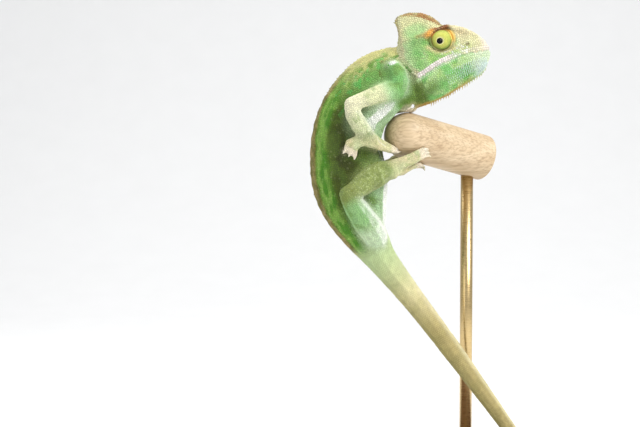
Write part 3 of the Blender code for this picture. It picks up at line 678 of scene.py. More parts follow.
def head_marks(points, jaw):
    """Markings of the head and lower jaw, as functions of the places forward, to the side and above."""
    h = to_head(points)
    f, side, u = h[:, 0], np.abs(h[:, 1]), h[:, 2]
    lip = u - mouth_height(f)
    grain, blotch = noise(points, 0.9, 31), noise(points, 2.2, 33)
    c = casque_marks(f, side, u, grain, blotch)
    c = mix(c, mix(SNOUT, PALE, 0.3), ramp(f, 15.5, 19))
    c = mix(c, mix(LIME, CREAM, blotch), bell(np.hypot((f - 18.5) / 1.5, u - 4.4), 0, 2.0) * 0.8)
    c = mix(c, SNOUT, ramp(lip, 5.5, 8) * ramp(f, 15, 18))
    # Painted highlight: the tip of the snout paled to pinkish white.
    c = mix(c, tone(232, 218, 206), ramp(f, 24, 26.5) * 0.8)
    c = brow_and_crest_marks(c, f, side, u, grain, blotch)
    # Painted shade: dark olive behind and below the corner of the mouth.
    behind = np.interp(u, [-0.6, 1.5, 4.85, 6.5], [-0.34, -1.0, -2.5, -3.3]) - f
    c = mix(c, tone(88, 106, 36), ramp(behind, 0.3, 0.9) * ramp(u, 6.2, 5.2) * 0.85)
    # Painted shade in the pit of the nostril.
    nose = np.hypot(f - NOSTRIL[0], u - NOSTRIL[1])
    c = mix(c, tone(140, 118, 70), bell(nose, 0, 0.6) * ramp(side, 1.2, 2) * 0.8)
    c = np.where(jaw[:, None], jaw_marks(f, side, -lip, grain, blotch), c)
    ragged = lip + 0.9 * (noise(points, 0.6, 35) - 0.5)
    band = np.maximum(ramp(ragged, 2.1, 1.5) * ramp(ragged, -0.4, 0.1), bell(lip, -0.5, 0.4) * 0.3)
    band = band * ramp(f, -1.0, 0.2) * (1 - (0.5 + 0.5 * grain) * ramp(f, 11, 17))
    c = mix(c, mix(LIP, WHITE, grain * 0.4), band * 0.9)
    specks = ramp(noise(points, 0.45, 37), 0.62, 0.72) * ramp(f, 9, 12) * ramp(f, 23, 19)
    return mix(c, WHITE, specks * ramp(lip, 0.2, 0.6) * ramp(lip, 4.6, 3) * 0.6)


def upper_front_marks(points, t, grain, blotch):
    """Green at the shoulder, with one white spot, and ivory towards the elbow."""
    c = mix(mix(MINT, tone(218, 220, 178), ramp(t, 0.15, 0.45)), LEAF, ramp(blotch, 0.55, 0.8) * 0.4)
    c = mix(c, mix(SPRING, LEAF, blotch), ramp(t, 0.26, 0.0) * 0.85)
    c = mix(c, IVORY, ramp(t, 0.65, 0.95) * 0.8)
    spot = np.hypot((points[:, 0] + 14.2) / 2.0, (points[:, 2] - 161.4) / 1.1)
    return mix(c, WHITE, ramp(spot, 1.15, 0.75) * 0.9)


def lower_front_marks(points, t, grain, blotch):
    """Ivory at the elbow, with two dark rings at the wrist."""
    c = mix(tone(212, 216, 174), LEAF, ramp(grain, 0.5, 0.8) * 0.45)
    c = mix(c, IVORY, ramp(t, 0.3, 0.0) * 0.85)
    return mix(c, tone(112, 136, 64), bell(t, 0.97, 0.07) * 0.95 + bell(t, 0.82, 0.05) * 0.7)


def upper_hind_marks(points, t, grain, blotch):
    """Pale green at the hip, darker at the knee."""
    c = mix(mix(tone(150, 188, 128), SPRING, 0.15), LEAF, ramp(blotch, 0.5, 0.75) * 0.5)
    c = mix(c, tone(208, 228, 192), ramp(t, 0.5, 0.15) * 0.85)
    return mix(c, KNEE, ramp(t, 0.8, 1.0) * 0.7)


def lower_hind_marks(points, t, grain, blotch):
    """Dull green, specked, darker at the knee and the ankle."""
    c = mix(tone(146, 160, 92), PALE, ramp(noise(points, 0.5, 45), 0.4, 0.9) * 0.35)
    c = mix(c, OLIVE, ramp(blotch, 0.5, 0.8) * 0.3)
    c = mix(c, KNEE, ramp(t, 0.2, 0.0) * 0.7)
    return mix(c, LEAF * 0.7, bell(t, 0.95, 0.05) * 0.6)


# Start of the nodes' names, where each part starts and ends on the left side, its markings, and how much
# painted highlight whitens the side that faces the light.
LIMBS = [
    ("leg_upper_front", (-12.0, 7.0, 151.6), (-28.2, 12.8, 146.0), upper_front_marks, 0.35),
    ("leg_lower_front", (-28.2, 12.8, 146.0), (-21.0, 9.6, 135.0), lower_front_marks, 0.35),
    ("leg_upper_hind", (-19.6, 4.2, 99.5), (-29.2, 12.2, 115.0), upper_hind_marks, 0.8),
    ("leg_lower_hind", (-29.2, 12.0, 115.0), (-14.4, 9.6, 123.4), lower_hind_marks, 0.35),
]


def limb_marks(points, label, normals):
    """Markings of the legs, by the share t of the way down each part, and cream feet."""
    c = np.tile(PALE, (len(points), 1))
    mirrored = points.copy()
    mirrored[:, 1] = np.abs(points[:, 1])
    grain, blotch = noise(points, 0.9, 41), noise(points, 2.0, 43)
    for start, a, b, own_marks, painted_front_light in LIMBS:
        a, b = np.array(a), np.array(b)
        t = ((mirrored - a) @ (b - a)) / ((b - a) @ (b - a))
        # Painted highlight: white on the side that faces the light.
        own = mix(own_marks(points, t, grain, blotch), WHITE, ramp(normals[:, 0], 0.35, 0.9) * painted_front_light)
        c = np.where(is_node(label, start)[:, None], own, c)
    feet = mix(tone(216, 200, 158), tone(206, 214, 166), blotch)
    feet = mix(feet, LEAF, ramp(grain, 0.5, 0.8) * 0.35)
    for end, _ in toe_ends():
        near = ramp(np.linalg.norm(points - end, axis=1), 2.6, 1.2)
        feet = mix(feet, tone(238, 224, 200), near * 0.8)
    return np.where(is_node(label, "foot_")[:, None], feet, c)


def marks(points, normals, label):
    """The colour of the animal at each point, by its node and its place in it."""
    s, across, up = to_spine(points)
    on_trunk, on_neck = is_node(label, "trunk"), is_node(label, "neck")
    tail = tail_marks(points, s, up)
    c = np.where(is_node(label, "tail_")[:, None], tail, trunk_marks(points, s, across, up))
    near_vent = ramp(s, SPINE["vent"] - 6, SPINE["vent"] + 1)
    c = np.where(on_trunk[:, None], mix(c, tail, near_vent), c)
    # Painted shade: the underside of the neck darkened to olive.
    throat = on_neck * ramp(up, -0.25, -0.6) * ramp(s, 11, 5)
    c = mix(c, mix(OLIVE, LEAF, noise(points, 1.6, 53) * 0.6), throat * 0.8)
    # Painted shade in the crease between the nape and the shoulder.
    crease = bell(line_distance(points[:, [0, 2]], SHOULDER_CREASE), 0, 0.5)
    c = mix(c, tone(92, 92, 40), (on_trunk | on_neck) * crease * ramp(np.abs(across), 0.4, 0.7) * 0.7)
    c = np.where(is_node(label, "leg_", "foot_")[:, None], limb_marks(points, label, normals), c)
    on_head, on_jaw = is_node(label, "head"), is_node(label, "lower_jaw")
    c = np.where((on_head | on_jaw)[:, None], head_marks(points, on_jaw), c)
    at = to_head(points)
    # Painted shade: dark olive in the hollow behind the corner of the mouth.
    behind_mouth = ramp(np.hypot((at[:, 0] + 3.4) / 2.0, (at[:, 2] - 1.6) / 3.0), 1.15, 0.5)
    c = mix(c, tone(84, 104, 40), (on_head | on_neck | on_jaw) * behind_mouth * 0.7)
    return np.clip(c * (0.88 + 0.24 * noise(points, 0.8, 51))[:, None], 0.01, 0.95)


# ---------------------------------------------------------------- scales

TRUNK_PITCH = 0.64
PITCHES = {"neck": 0.58, "head": 0.66, "lower_jaw": 0.62, "leg_": 0.56, "foot_": 0.46, "tail_": 0.6}
REAR_PITCH = 0.95
DART_SPACING = 0.84  # of the pitch, before the scales are spaced evenly
WIDEST_DOME = 0.72  # share of the pitch that a lone scale reaches to each side
# Painted shade: the skin in the gaps between the scales is darkened by this factor.
SHADE_BETWEEN_SCALES = 0.72  # how light the skin is beside the scales on it
SUNK = 0.07  # how deep the foot of a scale lies in the skin
BIG_SCALES, BIG_SCALE_SIZE = 0.07, 1.4  # their share, and how much wider they are
SCALE_HEIGHTS = {"foot_": 0.09, "tail_": 0.11}
REAR_HEIGHT, LIP_HEIGHT = 0.34, 0.19
COAT_PIECES = {  # slot, and the nodes that each piece of the coat lies on
    "scales_trunk": ("skin", "trunk", "neck"),
    "scales_head": ("head_skin", "head", "lower_jaw"),
    "scales_legs": ("leg_skin", "leg_"),
    "scales_feet": ("leg_skin", "foot_"),
    "scales_tail": ("skin", "tail_"),
}


def pitches(points, label):
    """Distance between scales, in millimetres."""
    p = np.full(len(points), TRUNK_PITCH)
    for start, pitch in PITCHES.items():
        p[is_node(label, start)] = pitch
    return p


def nearest_on(tree, points):
    """Place, normal and face of the skin nearest to each point."""
    hits = [tree.find_nearest(Vector(p)) for p in points]
    return tuple(np.array([hit[k] for hit in hits]) for k in range(3))


def cast(tree, start, way, reach):
    """Place and normal where a ray meets the skin, or nothing."""
    place, normal, _, _ = tree.ray_cast(Vector(start), Vector(way), reach)
    return place and (np.array(place), np.array(normal))


def cast_at_head(tree, forward, side, above):
    """The same for a ray from well beside the head, straight towards it."""
    return cast(tree, in_head(forward, side * CLEAR_OF_HEAD, above), (0, -side, 0), CLEAR_OF_HEAD)


def tail_lattice(tree):
    """Rings of scales round the tail, each ring set half a scale from the last."""
    s, ring = SPINE["vent"] + 1.0, 0
    while s < SPINE["s"][-1] - 0.5:
        at, _, up, side, half, width = spine_at(s)
        pitch = np.clip((half + width) * 0.11, 0.4, 0.72)
        count = max(5, round(math.pi * (half + width) / pitch))
        for k in range(count):
            a = 2 * math.pi * (k + 0.5 * (ring % 2)) / count
            out = unit(up * half * math.cos(a) + side * width * math.sin(a))
            yield cast(tree, at, out, half * 1.3), pitch
        s += pitch * 0.92
        ring += 1


def lip_rows(tree):
    """Scales of the lips, in rows along the mouth on both sides."""
    for above, pitch in ((0.62, 0.86), (1.42, 0.8), (2.2, 0.78), (-0.62, 0.8), (-1.4, 0.76)):
        f = 0.0
        while f < 26.6:
            for side in (-1, 1):
                yield cast_at_head(tree, f, side, mouth_height(f) + above), pitch
            f += pitch * (1 if f < 22 else 0.8)


def rear_rows(tree):
    """Granules along the casque's rear edge, on both sides."""
    for f, u, _ in smooth_rows([(f, u, 0) for f, u in REAR_EDGE], 26):
        for side in (-1, 1):
            yield cast_at_head(tree, f + 0.2, side, u), REAR_PITCH


def crowded(grid, cell, place, square):
    """Whether the square of the distance to a place kept before is less than the given one."""
    x, y, z = place
    for di, dj, dk in itertools.product((-1, 0, 1), repeat=3):
        for ox, oy, oz in grid.get((cell[0] + di, cell[1] + dj, cell[2] + dk), ()):
            if (x - ox) ** 2 + (y - oy) ** 2 + (z - oz) ** 2 < square:
                return True
    return False


def throw_darts(mesh, label, placed):
    """Places for scales all over the skin, none nearer to another than the pitch there."""
    mesh.calc_loop_triangles()
    tris = read(mesh.loop_triangles, "vertices", 3)
    points = points_of(mesh)
    a, b, c = (points[tris[:, k]] for k in range(3))
    area = 0.5 * np.linalg.norm(np.cross(b - a, c - a), axis=1)
    pitch = pitches(points, label)[tris[:, 0]]
    weight = area / pitch**2
    weight[is_node(label, "tail_")[tris[:, 0]]] *= 0.15
    count = int(weight.sum() * 6)
    face = RANDOM.choice(len(tris), count, p=weight / weight.sum())
    r1, r2 = np.sqrt(RANDOM.random(count))[:, None], RANDOM.random(count)[:, None]
    darts = a[face] * (1 - r1) + b[face] * r1 * (1 - r2) + c[face] * r1 * r2
    darts = np.column_stack([darts, pitch[face]])
    grid, kept = {}, []
    for fixed, rows in ((True, placed), (False, darts)):
        for x, y, z, pitch in rows.tolist():
            cell, reach = (int(x // 1), int(y // 1), int(z // 1)), pitch * DART_SPACING
            if not crowded(grid, cell, (x, y, z), reach * reach * (0.5 if fixed else 1)):
                grid.setdefault(cell, []).append((x, y, z))
                kept.append((x, y, z, reach / DART_SPACING, fixed))
    return np.array(kept, float)


def neighbours(points, count):
    tree = KDTree(len(points))
    for i, p in enumerate(points):
        tree.insert(p, i)
    tree.balance()
    return np.array([[n[1] for n in tree.find_n(p, count + 1)][1:] for p in points])


def space_evenly(tree, seeds, rounds):
    """Lets the loose seeds push each other apart over the skin."""
    points, pitch, fixed = seeds[:, :3], seeds[:, 3], seeds[:, 4] > 0
    for _ in range(rounds):
        near = neighbours(points, 6)
        away = points[:, None] - points[near]
        length = np.linalg.norm(away, axis=2)
        want = (pitch[:, None] + pitch[near]) / 2 * 1.03
        lack = np.maximum(want - length, 0)[..., None]
        push = (away / np.maximum(length, 1e-6)[..., None] * lack).sum(1) * 0.36
        push[fixed] = 0
        points, normals, faces = nearest_on(tree, points + push)
    return points, normals, faces


def domes(name, points, normals, size, height, colours, roots, corners=8):
    """One mesh of low domes, each as wide as its neighbours leave it room, with its patch on the unwrap."""
    count = len(points)
    near = neighbours(points, 9)
    helper = np.where(np.abs(normals[:, :1]) < 0.8, [[1.0, 0, 0]], [[0, 1.0, 0]])
    u = unit(np.cross(normals, helper))
    v = np.cross(normals, u)
    off = points[near] - points[:, None]
    flat = np.stack([(off * u[:, None]).sum(2), (off * v[:, None]).sum(2)], axis=2)
    length = np.maximum(np.linalg.norm(flat, axis=2), 1e-6)
    true_length = np.linalg.norm(off, axis=2)[:, None, :]
    border = length * (size[:, None] / (size[:, None] + size[near]))
    turn = RANDOM.random(count) * 2 * math.pi
    angle = turn[:, None] + np.arange(corners) * 2 * math.pi / corners
    ways = np.stack([np.cos(angle), np.sin(angle)], axis=2)
    cosine = np.einsum("nkc,njc->nkj", ways, flat / length[..., None])
    facing = (normals[near] * normals[:, None]).sum(2)[:, None, :] > -0.2
    limits = (cosine > 0.25) & facing & (true_length < 3 * size[:, None, None])
    reach = np.where(limits, border[:, None] / np.maximum(cosine, 0.25), 9.0)
    reach = np.minimum(reach.min(2), size[:, None] * WIDEST_DOME)[..., None]
    spoke = ways[..., :1] * u[:, None] + ways[..., 1:] * v[:, None]
    centre, up, high = points[:, None], normals[:, None], height[:, None, None]
    base = centre + spoke * reach * 0.98 - up * SUNK
    shoulder = centre + spoke * reach * 0.74 + up * high * 0.78
    verts = np.concatenate([base, shoulder, centre + up * high], axis=1).reshape(-1, 3)
    obj = mesh_object(name, verts, pointed_faces(count, 2, corners))
    # Painted shade at each scale's foot and a slight painted highlight on its crown.
    shade = np.concatenate([np.full(corners, 0.62), np.full(corners, 1.0), [1.08]])[None, :, None]
    set_marks(obj.data, np.clip(colours[:, None] * shade, 0.005, 1).reshape(-1, 3))
    disc = np.concatenate([ways, ways * 0.6, np.zeros((count, 1, 2))], axis=1) * PATCH_RADIUS
    lay_patches(obj.data, (roots[:, None] + disc).reshape(-1, 2))
    return obj


def lay_patches(mesh, uv_of_points):
    """Gives each point its place on the OFBake map."""
    layer = mesh.uv_layers.new(name="OFBake")
    uv = uv_of_points[read(mesh.loops, "vertex_index")]
    layer.data.foreach_set("uv", uv.astype(np.float32).ravel())


def unwrap(obj):
    """Unfolds the skin by its own shape. Returns the place of each face on it."""
    mesh = obj.data
    mesh.uv_layers.new(name="OFBake")
    bpy.ops.object.select_all(action="DESELECT")
    obj.select_set(True)
    bpy.context.view_layer.objects.active = obj
    bpy.ops.object.mode_set(mode="EDIT")
    bpy.ops.mesh.select_all(action="SELECT")
    bpy.ops.uv.smart_project(angle_limit=math.radians(70), island_margin=0.002)
    bpy.ops.object.mode_set(mode="OBJECT")
    uv = read(mesh.uv_layers["OFBake"].data, "uv", 2, np.float32)
    start = read(mesh.polygons, "loop_start")
    return (uv[start] + uv[start + 1] + uv[start + 2]) / 3


# ---------------------------------------------------------------- pieces


def cones(name, rows, colours, patches, sides=8, rings=5, squash=1.0, cuff=1.0):
    """Curved horny cones in one mesh, from rows of root, way, bend, length and radius.

    A cuff below 1 narrows the foot of each cone."""
    verts, shades, uvs = [], [], []
    for (root, way, bend, length, radius), colour, patch in zip(rows, colours, patches):
        way = unit(way)
        side = unit(np.cross(way, bend))
        other = np.cross(side, way)
        for t in np.arange(rings) / rings:
            centre = root + way * length * t + bend * length * t * t
            r = radius * (1 - t) ** 0.8 * (cuff + (1 - cuff) * min(1.0, t / 0.3))
            for a in 2 * math.pi * np.arange(sides) / sides:
                verts.append(centre + r * (side * math.cos(a) * squash + other * math.sin(a)))
                # Painted shade darkens each cone at its root where it meets the skin; it grows lighter to a
                # slight painted highlight at the tip.
                shades.append(colour * (0.8 + 0.25 * t))
                uvs.append(patch + PATCH_RADIUS * (1 - t) * np.array([math.cos(a), math.sin(a)]))
        verts.append(root + way * length + bend * length)
        shades.append(colour * 1.05)
        uvs.append(patch)
    obj = mesh_object(name, verts, pointed_faces(len(colours), rings, sides))
    set_marks(obj.data, np.clip(np.array(shades), 0.01, 1))
    lay_patches(obj.data, np.array(uvs))
    return obj


def soften(colours, label, edges):
    """Blends the markings across the borders of the legs and feet, over about three millimetres."""
    a, b = edges[:, 0], edges[:, 1]
    limb = is_node(label, "leg_", "foot_")
    border = (label[a] != label[b]) & (limb[a] | limb[b])
    near = np.zeros(len(colours))
    near[a[border]] = near[b[border]] = 1
    for _ in range(6):
        wider = near.copy()
        np.maximum.at(wider, a, near[b] * 0.9)
        np.maximum.at(wider, b, near[a] * 0.9)
        near = wider
    return relax(colours, edges, 24, (1.0,), near)


class Skin:
    """The finished skin: its object, labels, softening of the markings, unwrap and search tree."""

    def __init__(self):
        mesh, self.label = make_skin()
        finish_skin(mesh, self.label)
        points = points_of(mesh)
        plain = marks(points, normals_of(mesh), self.label)
        colours = soften(plain, self.label, edges_of(mesh))
        self.softening = colours - plain
        self.obj = new_object("skin", mesh)
        mesh.polygons.foreach_set("use_smooth", np.ones(len(mesh.polygons), bool))
        # Painted shade in the gaps between the scales.
        set_marks(mesh, colours * SHADE_BETWEEN_SCALES)
        self.face_uv = unwrap(self.obj)
        self.first_corner = read(mesh.loops, "vertex_index")[read(mesh.polygons, "loop_start")]
        faces = [list(p.vertices) for p in mesh.polygons]
        self.tree = BVHTree.FromPolygons([Vector(p) for p in points], faces)

    def at(self, points):
        """Place, normal, label and patch of the skin nearest to each point."""
        places, normals, faces = nearest_on(self.tree, points)
        return places, normals, self.label[self.first_corner[faces]], self.face_uv[faces]


def placed_scales(tree):
    """Scales with places of their own: along the lips and the casque's edge, and round the tail."""
    rows = itertools.chain(lip_rows(tree), rear_rows(tree), tail_lattice(tree))
    return np.array([(*hit[0], pitch) for hit, pitch in rows if hit])


def clear_of_claws(points):
    """Whether no claw grows through a scale at these places."""
    clear = np.ones(len(points), bool)
    for end, way in toe_ends():
        off = points - (end + way * 0.9)
        clear &= (np.linalg.norm(off, axis=1) > 1.25) | (off @ way < -0.6)
    return clear


def scale_coat(skin):
    """All small scales, in one mesh for each region."""
    seeds = throw_darts(skin.obj.data, skin.label, placed_scales(skin.tree))
    points, normals, faces = space_evenly(skin.tree, seeds, 5)
    clear = clear_of_claws(points)
    points, normals, faces, seeds = points[clear], normals[clear], faces[clear], seeds[clear]
    nearest = skin.first_corner[faces]
    label, count = skin.label[nearest], len(points)
    size, fixed = seeds[:, 3].copy(), seeds[:, 4] > 0
    big = (RANDOM.random(count) < BIG_SCALES) & ~fixed & ~is_node(label, "foot_", "tail_")
    size[big] *= BIG_SCALE_SIZE
    height = 0.13 + 0.05 * RANDOM.random(count)
    height[big] = np.where(is_node(label[big], "trunk"), 0.16, 0.22)
    for start, low in SCALE_HEIGHTS.items():
        height[is_node(label, start)] = low
    rear = fixed & (seeds[:, 3] > REAR_PITCH - 0.05)
    height[rear] = REAR_HEIGHT
    height[fixed & is_node(label, "head", "lower_jaw") & ~rear] = LIP_HEIGHT
    colours = np.clip(marks(points, normals, label) + skin.softening[nearest], 0.01, 0.95)
    colours *= (0.88 + 0.24 * RANDOM.random(count))[:, None]
    colours[big] = mix(colours[big], GRANULE, 0.06)
    coat = (points, normals, size, height, colours, skin.face_uv[faces])
    for name, (slot, *starts) in COAT_PIECES.items():
        here = is_node(label, *starts)
        yield domes(name, *(values[here] for values in coat)), slot


# How far out a turret's skin lies at each distance from its axis.
TURRET_PROFILE = [
    (0, 9.42), (1.3, 9.32), (2.2, 8.95), (3.0, 8.25), (3.35, 7.8), (3.7, 7.6), (4.1, 7.2), (4.5, 6.4),
    (4.6, 5.0),
]
TURRET_EDGE = 0.86  # share of the turret's skin that keeps to the profile
EYEBALL_RADIUS, EYEBALL_FRONT = 1.55, 9.3
RING_INNER, RING_OUTER = 0.96, 1.04
PUPIL_AT = (-0.95, -0.1)  # of the lids' opening, forward of and above the turret's axis
OPENING = 1.05
ORBIT_RADIUS = 5.3  # where the turret's skin runs out under the skin of the head


def side_word(side):
    return "left" if side > 0 else "right"


def turret_point(skin, share, angle, side, lift=0.0):
    """A place on a turret: share 0 at the edge of the lids' opening, 1 where it meets the head's skin."""
    radius = np.interp(share, [0, 0.1, 0.25, 0.5, 0.72, TURRET_EDGE], [OPENING, 1.45, 2.0, 2.95, 3.75, 4.35])
    drop = np.interp(share, [0, 0.1], [0.3, 0.0])
    shift = (1 - np.clip((radius - OPENING) / (3.9 - OPENING), 0, 1)) ** 1.2
    forward = radius * math.cos(angle) + PUPIL_AT[0] * shift
    above = radius * math.sin(angle) * (TURRET_SQUASH + (1 - TURRET_SQUASH) * shift) + PUPIL_AT[1] * shift
    knots = np.array(TURRET_PROFILE)
    reach = np.interp(math.hypot(forward, above / TURRET_SQUASH), knots[:, 0], knots[:, 1]) - drop + lift
    point = in_head(EYE_AT[0] + TURRET_LEAN * reach + forward, side * reach, EYE_AT[1] + above)
    if share <= TURRET_EDGE:
        return point
    w = (share - TURRET_EDGE) / (1 - TURRET_EDGE)
    out = ORBIT_RADIUS * math.cos(angle) - 0.3, ORBIT_RADIUS * TURRET_SQUASH * math.sin(angle)
    start = in_head(EYE_AT[0] + out[0], side * 12.0, EYE_AT[1] + out[1])
    hit = cast(skin.tree, start, (0, -side, 0), 10)
    edge = (hit[0] if hit else start - [0, side * 7.0, 0]) - [0, side * 0.1, 0]
    return point * (1 - w) + edge * w - np.array([0, side * 0.4 * math.sin(math.pi * w) ** 0.7, 0])


def turret_marks(share, angle):
    """Lime lids, green below, with a yellow and amber fold in front, and orange and painted shadow under the
    brow.
    """
    front = 0.5 + 0.5 * math.cos(angle - 0.35)
    low, high = 0.5 - 0.5 * math.sin(angle), 0.5 + 0.5 * math.sin(angle)
    share = share - 0.19 * abs(math.sin(angle)) ** 1.5 * ramp(share, 0.2, 0.5)
    c = mix(LID, tone(176, 186, 84), ramp(share, 0.25, 0.52) * (0.5 + 0.5 * (1 - front)))
    c = mix(c, tone(112, 142, 60), ramp(share, 0.18, 0.5) * low**2.5 * 0.9)
    # Painted shade: a dark line in the groove under the lid dome.
    c = mix(c, tone(62, 64, 22), bell(share, 0.55, 0.035) * ramp(low, 0.6, 0.9))
    gold = mix(tone(238, 212, 108), AMBER, ramp(share, 0.64, 0.72))
    gold = mix(gold, tone(220, 196, 120), ramp(share, 0.78, 0.86))
    fold = mix(tone(124, 112, 52), tone(150, 170, 96), ramp(share, 0.66, 0.8))
    fold = mix(fold, gold, ramp(front, 0.4, 0.8))
    # Orange at the back and dark brown in front: painted shadow of the brow on the turret's top.
    browns = mix(tone(206, 138, 62), tone(112, 68, 20), ramp(front, 0.3, 0.6))
    fold = mix(fold, browns, ramp(high, 0.72, 0.95))
    fold = mix(fold, tone(188, 184, 130), ramp(low, 0.6, 0.85) * ramp(share, 0.6, 0.68))
    c = mix(c, fold, ramp(share, 0.57, 0.61))
    # Painted shade: dark lines in two creases of the fold, in front.
    creases = bell(share, 0.575, 0.016) + bell(share, 0.72, 0.018)
    c = mix(c, tone(128, 84, 30), creases * ramp(front, 0.4, 0.7) * 0.85)
    return mix(c, tone(240, 234, 170), ramp(share, 0.13, 0.05))


def make_turret(skin, side):
    """The skin of one eye turret."""
    rings, around = 44, 72
    verts, shades, flat = [], [], []
    for share in np.linspace(0, 1, rings):
        fade = ramp(share, 0.1, 0.2) * ramp(share, TURRET_EDGE, 0.78)
        crease = 0.05 * math.sin(share * 2 * math.pi * 9) * fade
        for angle in 2 * math.pi * np.arange(around) / around:
            verts.append(turret_point(skin, share, angle, side, float(crease)))
            shades.append(turret_marks(share, angle) * 0.85)
            flat.append(0.5 + 0.4 * (0.1 + 0.9 * share) * np.array([math.cos(angle), math.sin(angle)]))
    quads = tube_faces(rings, around)
    obj = mesh_object(f"turret_{side_word(side)}", verts, [quads if side > 0 else quads[:, ::-1]])
    set_marks(obj.data, np.array(shades))
    lay_patches(obj.data, np.array(flat))
    return obj


def turret_granules(skin, side):
    """Rings of fine granules round the lids' opening of one turret."""
    points, normals, colours, size = [], [], [], []
    axis = way_in_head(-0.05, side, 0)
    for ring, share in enumerate(np.linspace(0.07, 0.96, 17)):
        ends = turret_point(skin, share, 0, side), turret_point(skin, share, math.pi, side)
        pitch = 0.33 if share < 0.3 else 0.4
        count = round(math.pi * np.linalg.norm(ends[0] - ends[1]) / pitch)
        for k in range(count):
            angle = 2 * math.pi * (k + 0.5 * (ring % 2)) / count
            outer, inner = (turret_point(skin, share + step, angle, side) for step in (0.02, -0.02))
            after, before = (turret_point(skin, share, angle + step, side) for step in (0.05, -0.05))
            normal = unit(np.cross(outer - inner, after - before))
            points.append(turret_point(skin, share, angle, side, -0.02))
            normals.append(normal if normal @ axis > 0 else -normal)
            colours.append(turret_marks(share, angle) * (0.88 + 0.24 * RANDOM.random()))
            size.append(pitch)
    points, height = np.array(points), np.full(len(points), 0.09)
    roots = 0.5 + (points - points.mean(0))[:, [0, 2]] * 0.07
    name = f"turret_granules_{side_word(side)}"
    return domes(name, points, np.array(normals), np.array(size), height, np.array(colours), roots, 6)


def make_eyeball(side):
    """The ball behind the lids: black pupil, thin golden ring, dark brown beyond."""
    rings, around = 26, 48
    forward, above = EYE_AT[0] + PUPIL_AT[0] + TURRET_LEAN * EYEBALL_FRONT, EYE_AT[1] + PUPIL_AT[1]
    centre = in_head(forward, side * (EYEBALL_FRONT - EYEBALL_RADIUS), above)
    out, east = unit(way_in_head(-0.06, side, -0.03)), way_in_head(1, 0.0, 0)
    east = unit(east - out * (east @ out))
    north = np.cross(out, east)
    verts, shades, flat = [], [], []
    for polar in 0.03 + (math.pi - 0.06) * np.arange(rings) / (rings - 1):
        r, in_front = EYEBALL_RADIUS * math.sin(polar), polar < 1.5
        colour = PUPIL if r < RING_OUTER else EYE_BROWN
        if RING_INNER < r < RING_OUTER and in_front:
            colour = EYE_RING
        bulge = 0.1 * ramp(r, 0.8, 0.2) if in_front else 0.0
        for a in 2 * math.pi * np.arange(around) / around:
            ring = r * (east * math.cos(a) + north * math.sin(a))
            verts.append(centre + out * (EYEBALL_RADIUS * math.cos(polar) + bulge) + ring)
            shades.append(colour)
            flat.append((0.5 + polar / 7 * math.cos(a), 0.5 + polar / 7 * math.sin(a)))
    caps = np.arange(rings * around).reshape(rings, around)
    groups = [tube_faces(rings, around)[:, ::-1], caps[:1], caps[-1:, ::-1]]
    obj = turn_outwards(mesh_object(f"eye_{side_word(side)}", verts, groups))
    set_marks(obj.data, np.array(shades))
    lay_patches(obj.data, np.array(flat))
    return obj


# Each crest gives rows of root, way, bend, length and radius, for cones.


def back_crest(tree):
    """Small conical scales along the back's edge, highest on the nape and lost on the tail."""
    s = 1.0
    while s < SPINE["vent"] + 16:
        at, way, up, *_ = spine_at(s)
        hit = cast(tree, at, unit(up), 20)
        nape = float(ramp(s, 46, 12))
        length = (0.3 + 0.5 * nape) * (0.8 + 0.4 * RANDOM.random())
        if hit:
            lean = unit(up + way * 0.25 + RANDOM.normal(0, 0.06, 3))
            yield hit[0] - unit(up) * 0.15, lean, way * 0.35, length, 0.27 + 0.1 * nape
        s += 0.95 + 0.25 * RANDOM.random()


def belly_crest(tree):
    """Small white cones along the stripe down the middle of the belly."""
    s = 12.0
    while s < SPINE["vent"] - 6:
        at, way, up, side, half, width = spine_at(s)
        turn = float(belly_twist(s))
        out = unit(-up * math.cos(turn) * half - side * math.sin(turn) * width)
        hit = cast(tree, at, out, 20)
        if hit and hit[1] @ out > 0.6:
            yield hit[0] - out * 0.1, unit(out + way * 0.5), way * 0.25, 0.42, 0.24
        s += 0.8


def throat_crest(tree):
    """The fringe of spines under the chin, and shorter rows beside it."""
    for left, tall, pitch in ((0.0, 1.25, 1.0), (-1.5, 0.6, 1.1), (1.5, 0.6, 1.1)):
        f = 1.5
        while f < 25.5:
            hit = cast(tree, in_head(f, left, -16), way_in_head(0, 0, 1), 20)
            if hit:
                length = tall * (0.55 + 0.45 * float(ramp(f, 25, 17))) * (0.8 + 0.4 * RANDOM.random())
                way = unit(way_in_head(-0.15, 0.35 * left, -1) + RANDOM.normal(0, 0.07, 3))
                root, bend = hit[0] + way_in_head(0, 0, 0.12), way_in_head(-0.3, 0, 0)
                yield root, way, bend, length, 0.3 if left == 0 else 0.24
            f += pitch * (0.85 + 0.3 * RANDOM.random())


def jaw_spines(tree):
    """Rows of fine pale spines low on the sides of the lower jaw."""
    for low in np.arange(3.4, 8.4, 0.85):
        for f in np.arange(9 + 0.4 * (low % 2), 25.5, 0.9):
            depth = low * (1 - 0.018 * max(f - 11, 0) ** 1.2)
            for side in (-1, 1):
                hit = cast_at_head(tree, f, side, mouth_height(f) - depth)
                if hit and abs(hit[1][1]) > 0.3:
                    place, normal = hit
                    way = unit(normal * 0.55 + way_in_head(-0.55, 0, -0.8) + RANDOM.normal(0, 0.06, 3))
                    length = float(0.45 + 0.65 * ramp(f, 10, 18)) * (0.8 + 0.4 * RANDOM.random())
                    yield place - normal * 0.08, way, way_in_head(-0.1, 0, -0.2), length, 0.19


def crest_piece(name, crest, skin, colour, share):
    """One crest, in the markings under it blended with a colour."""
    rows = list(crest(skin.tree))
    places, normals, label, patches = skin.at(np.array([row[0] for row in rows]))
    return cones(name, rows, mix(marks(places, normals, label), colour, share), patches)


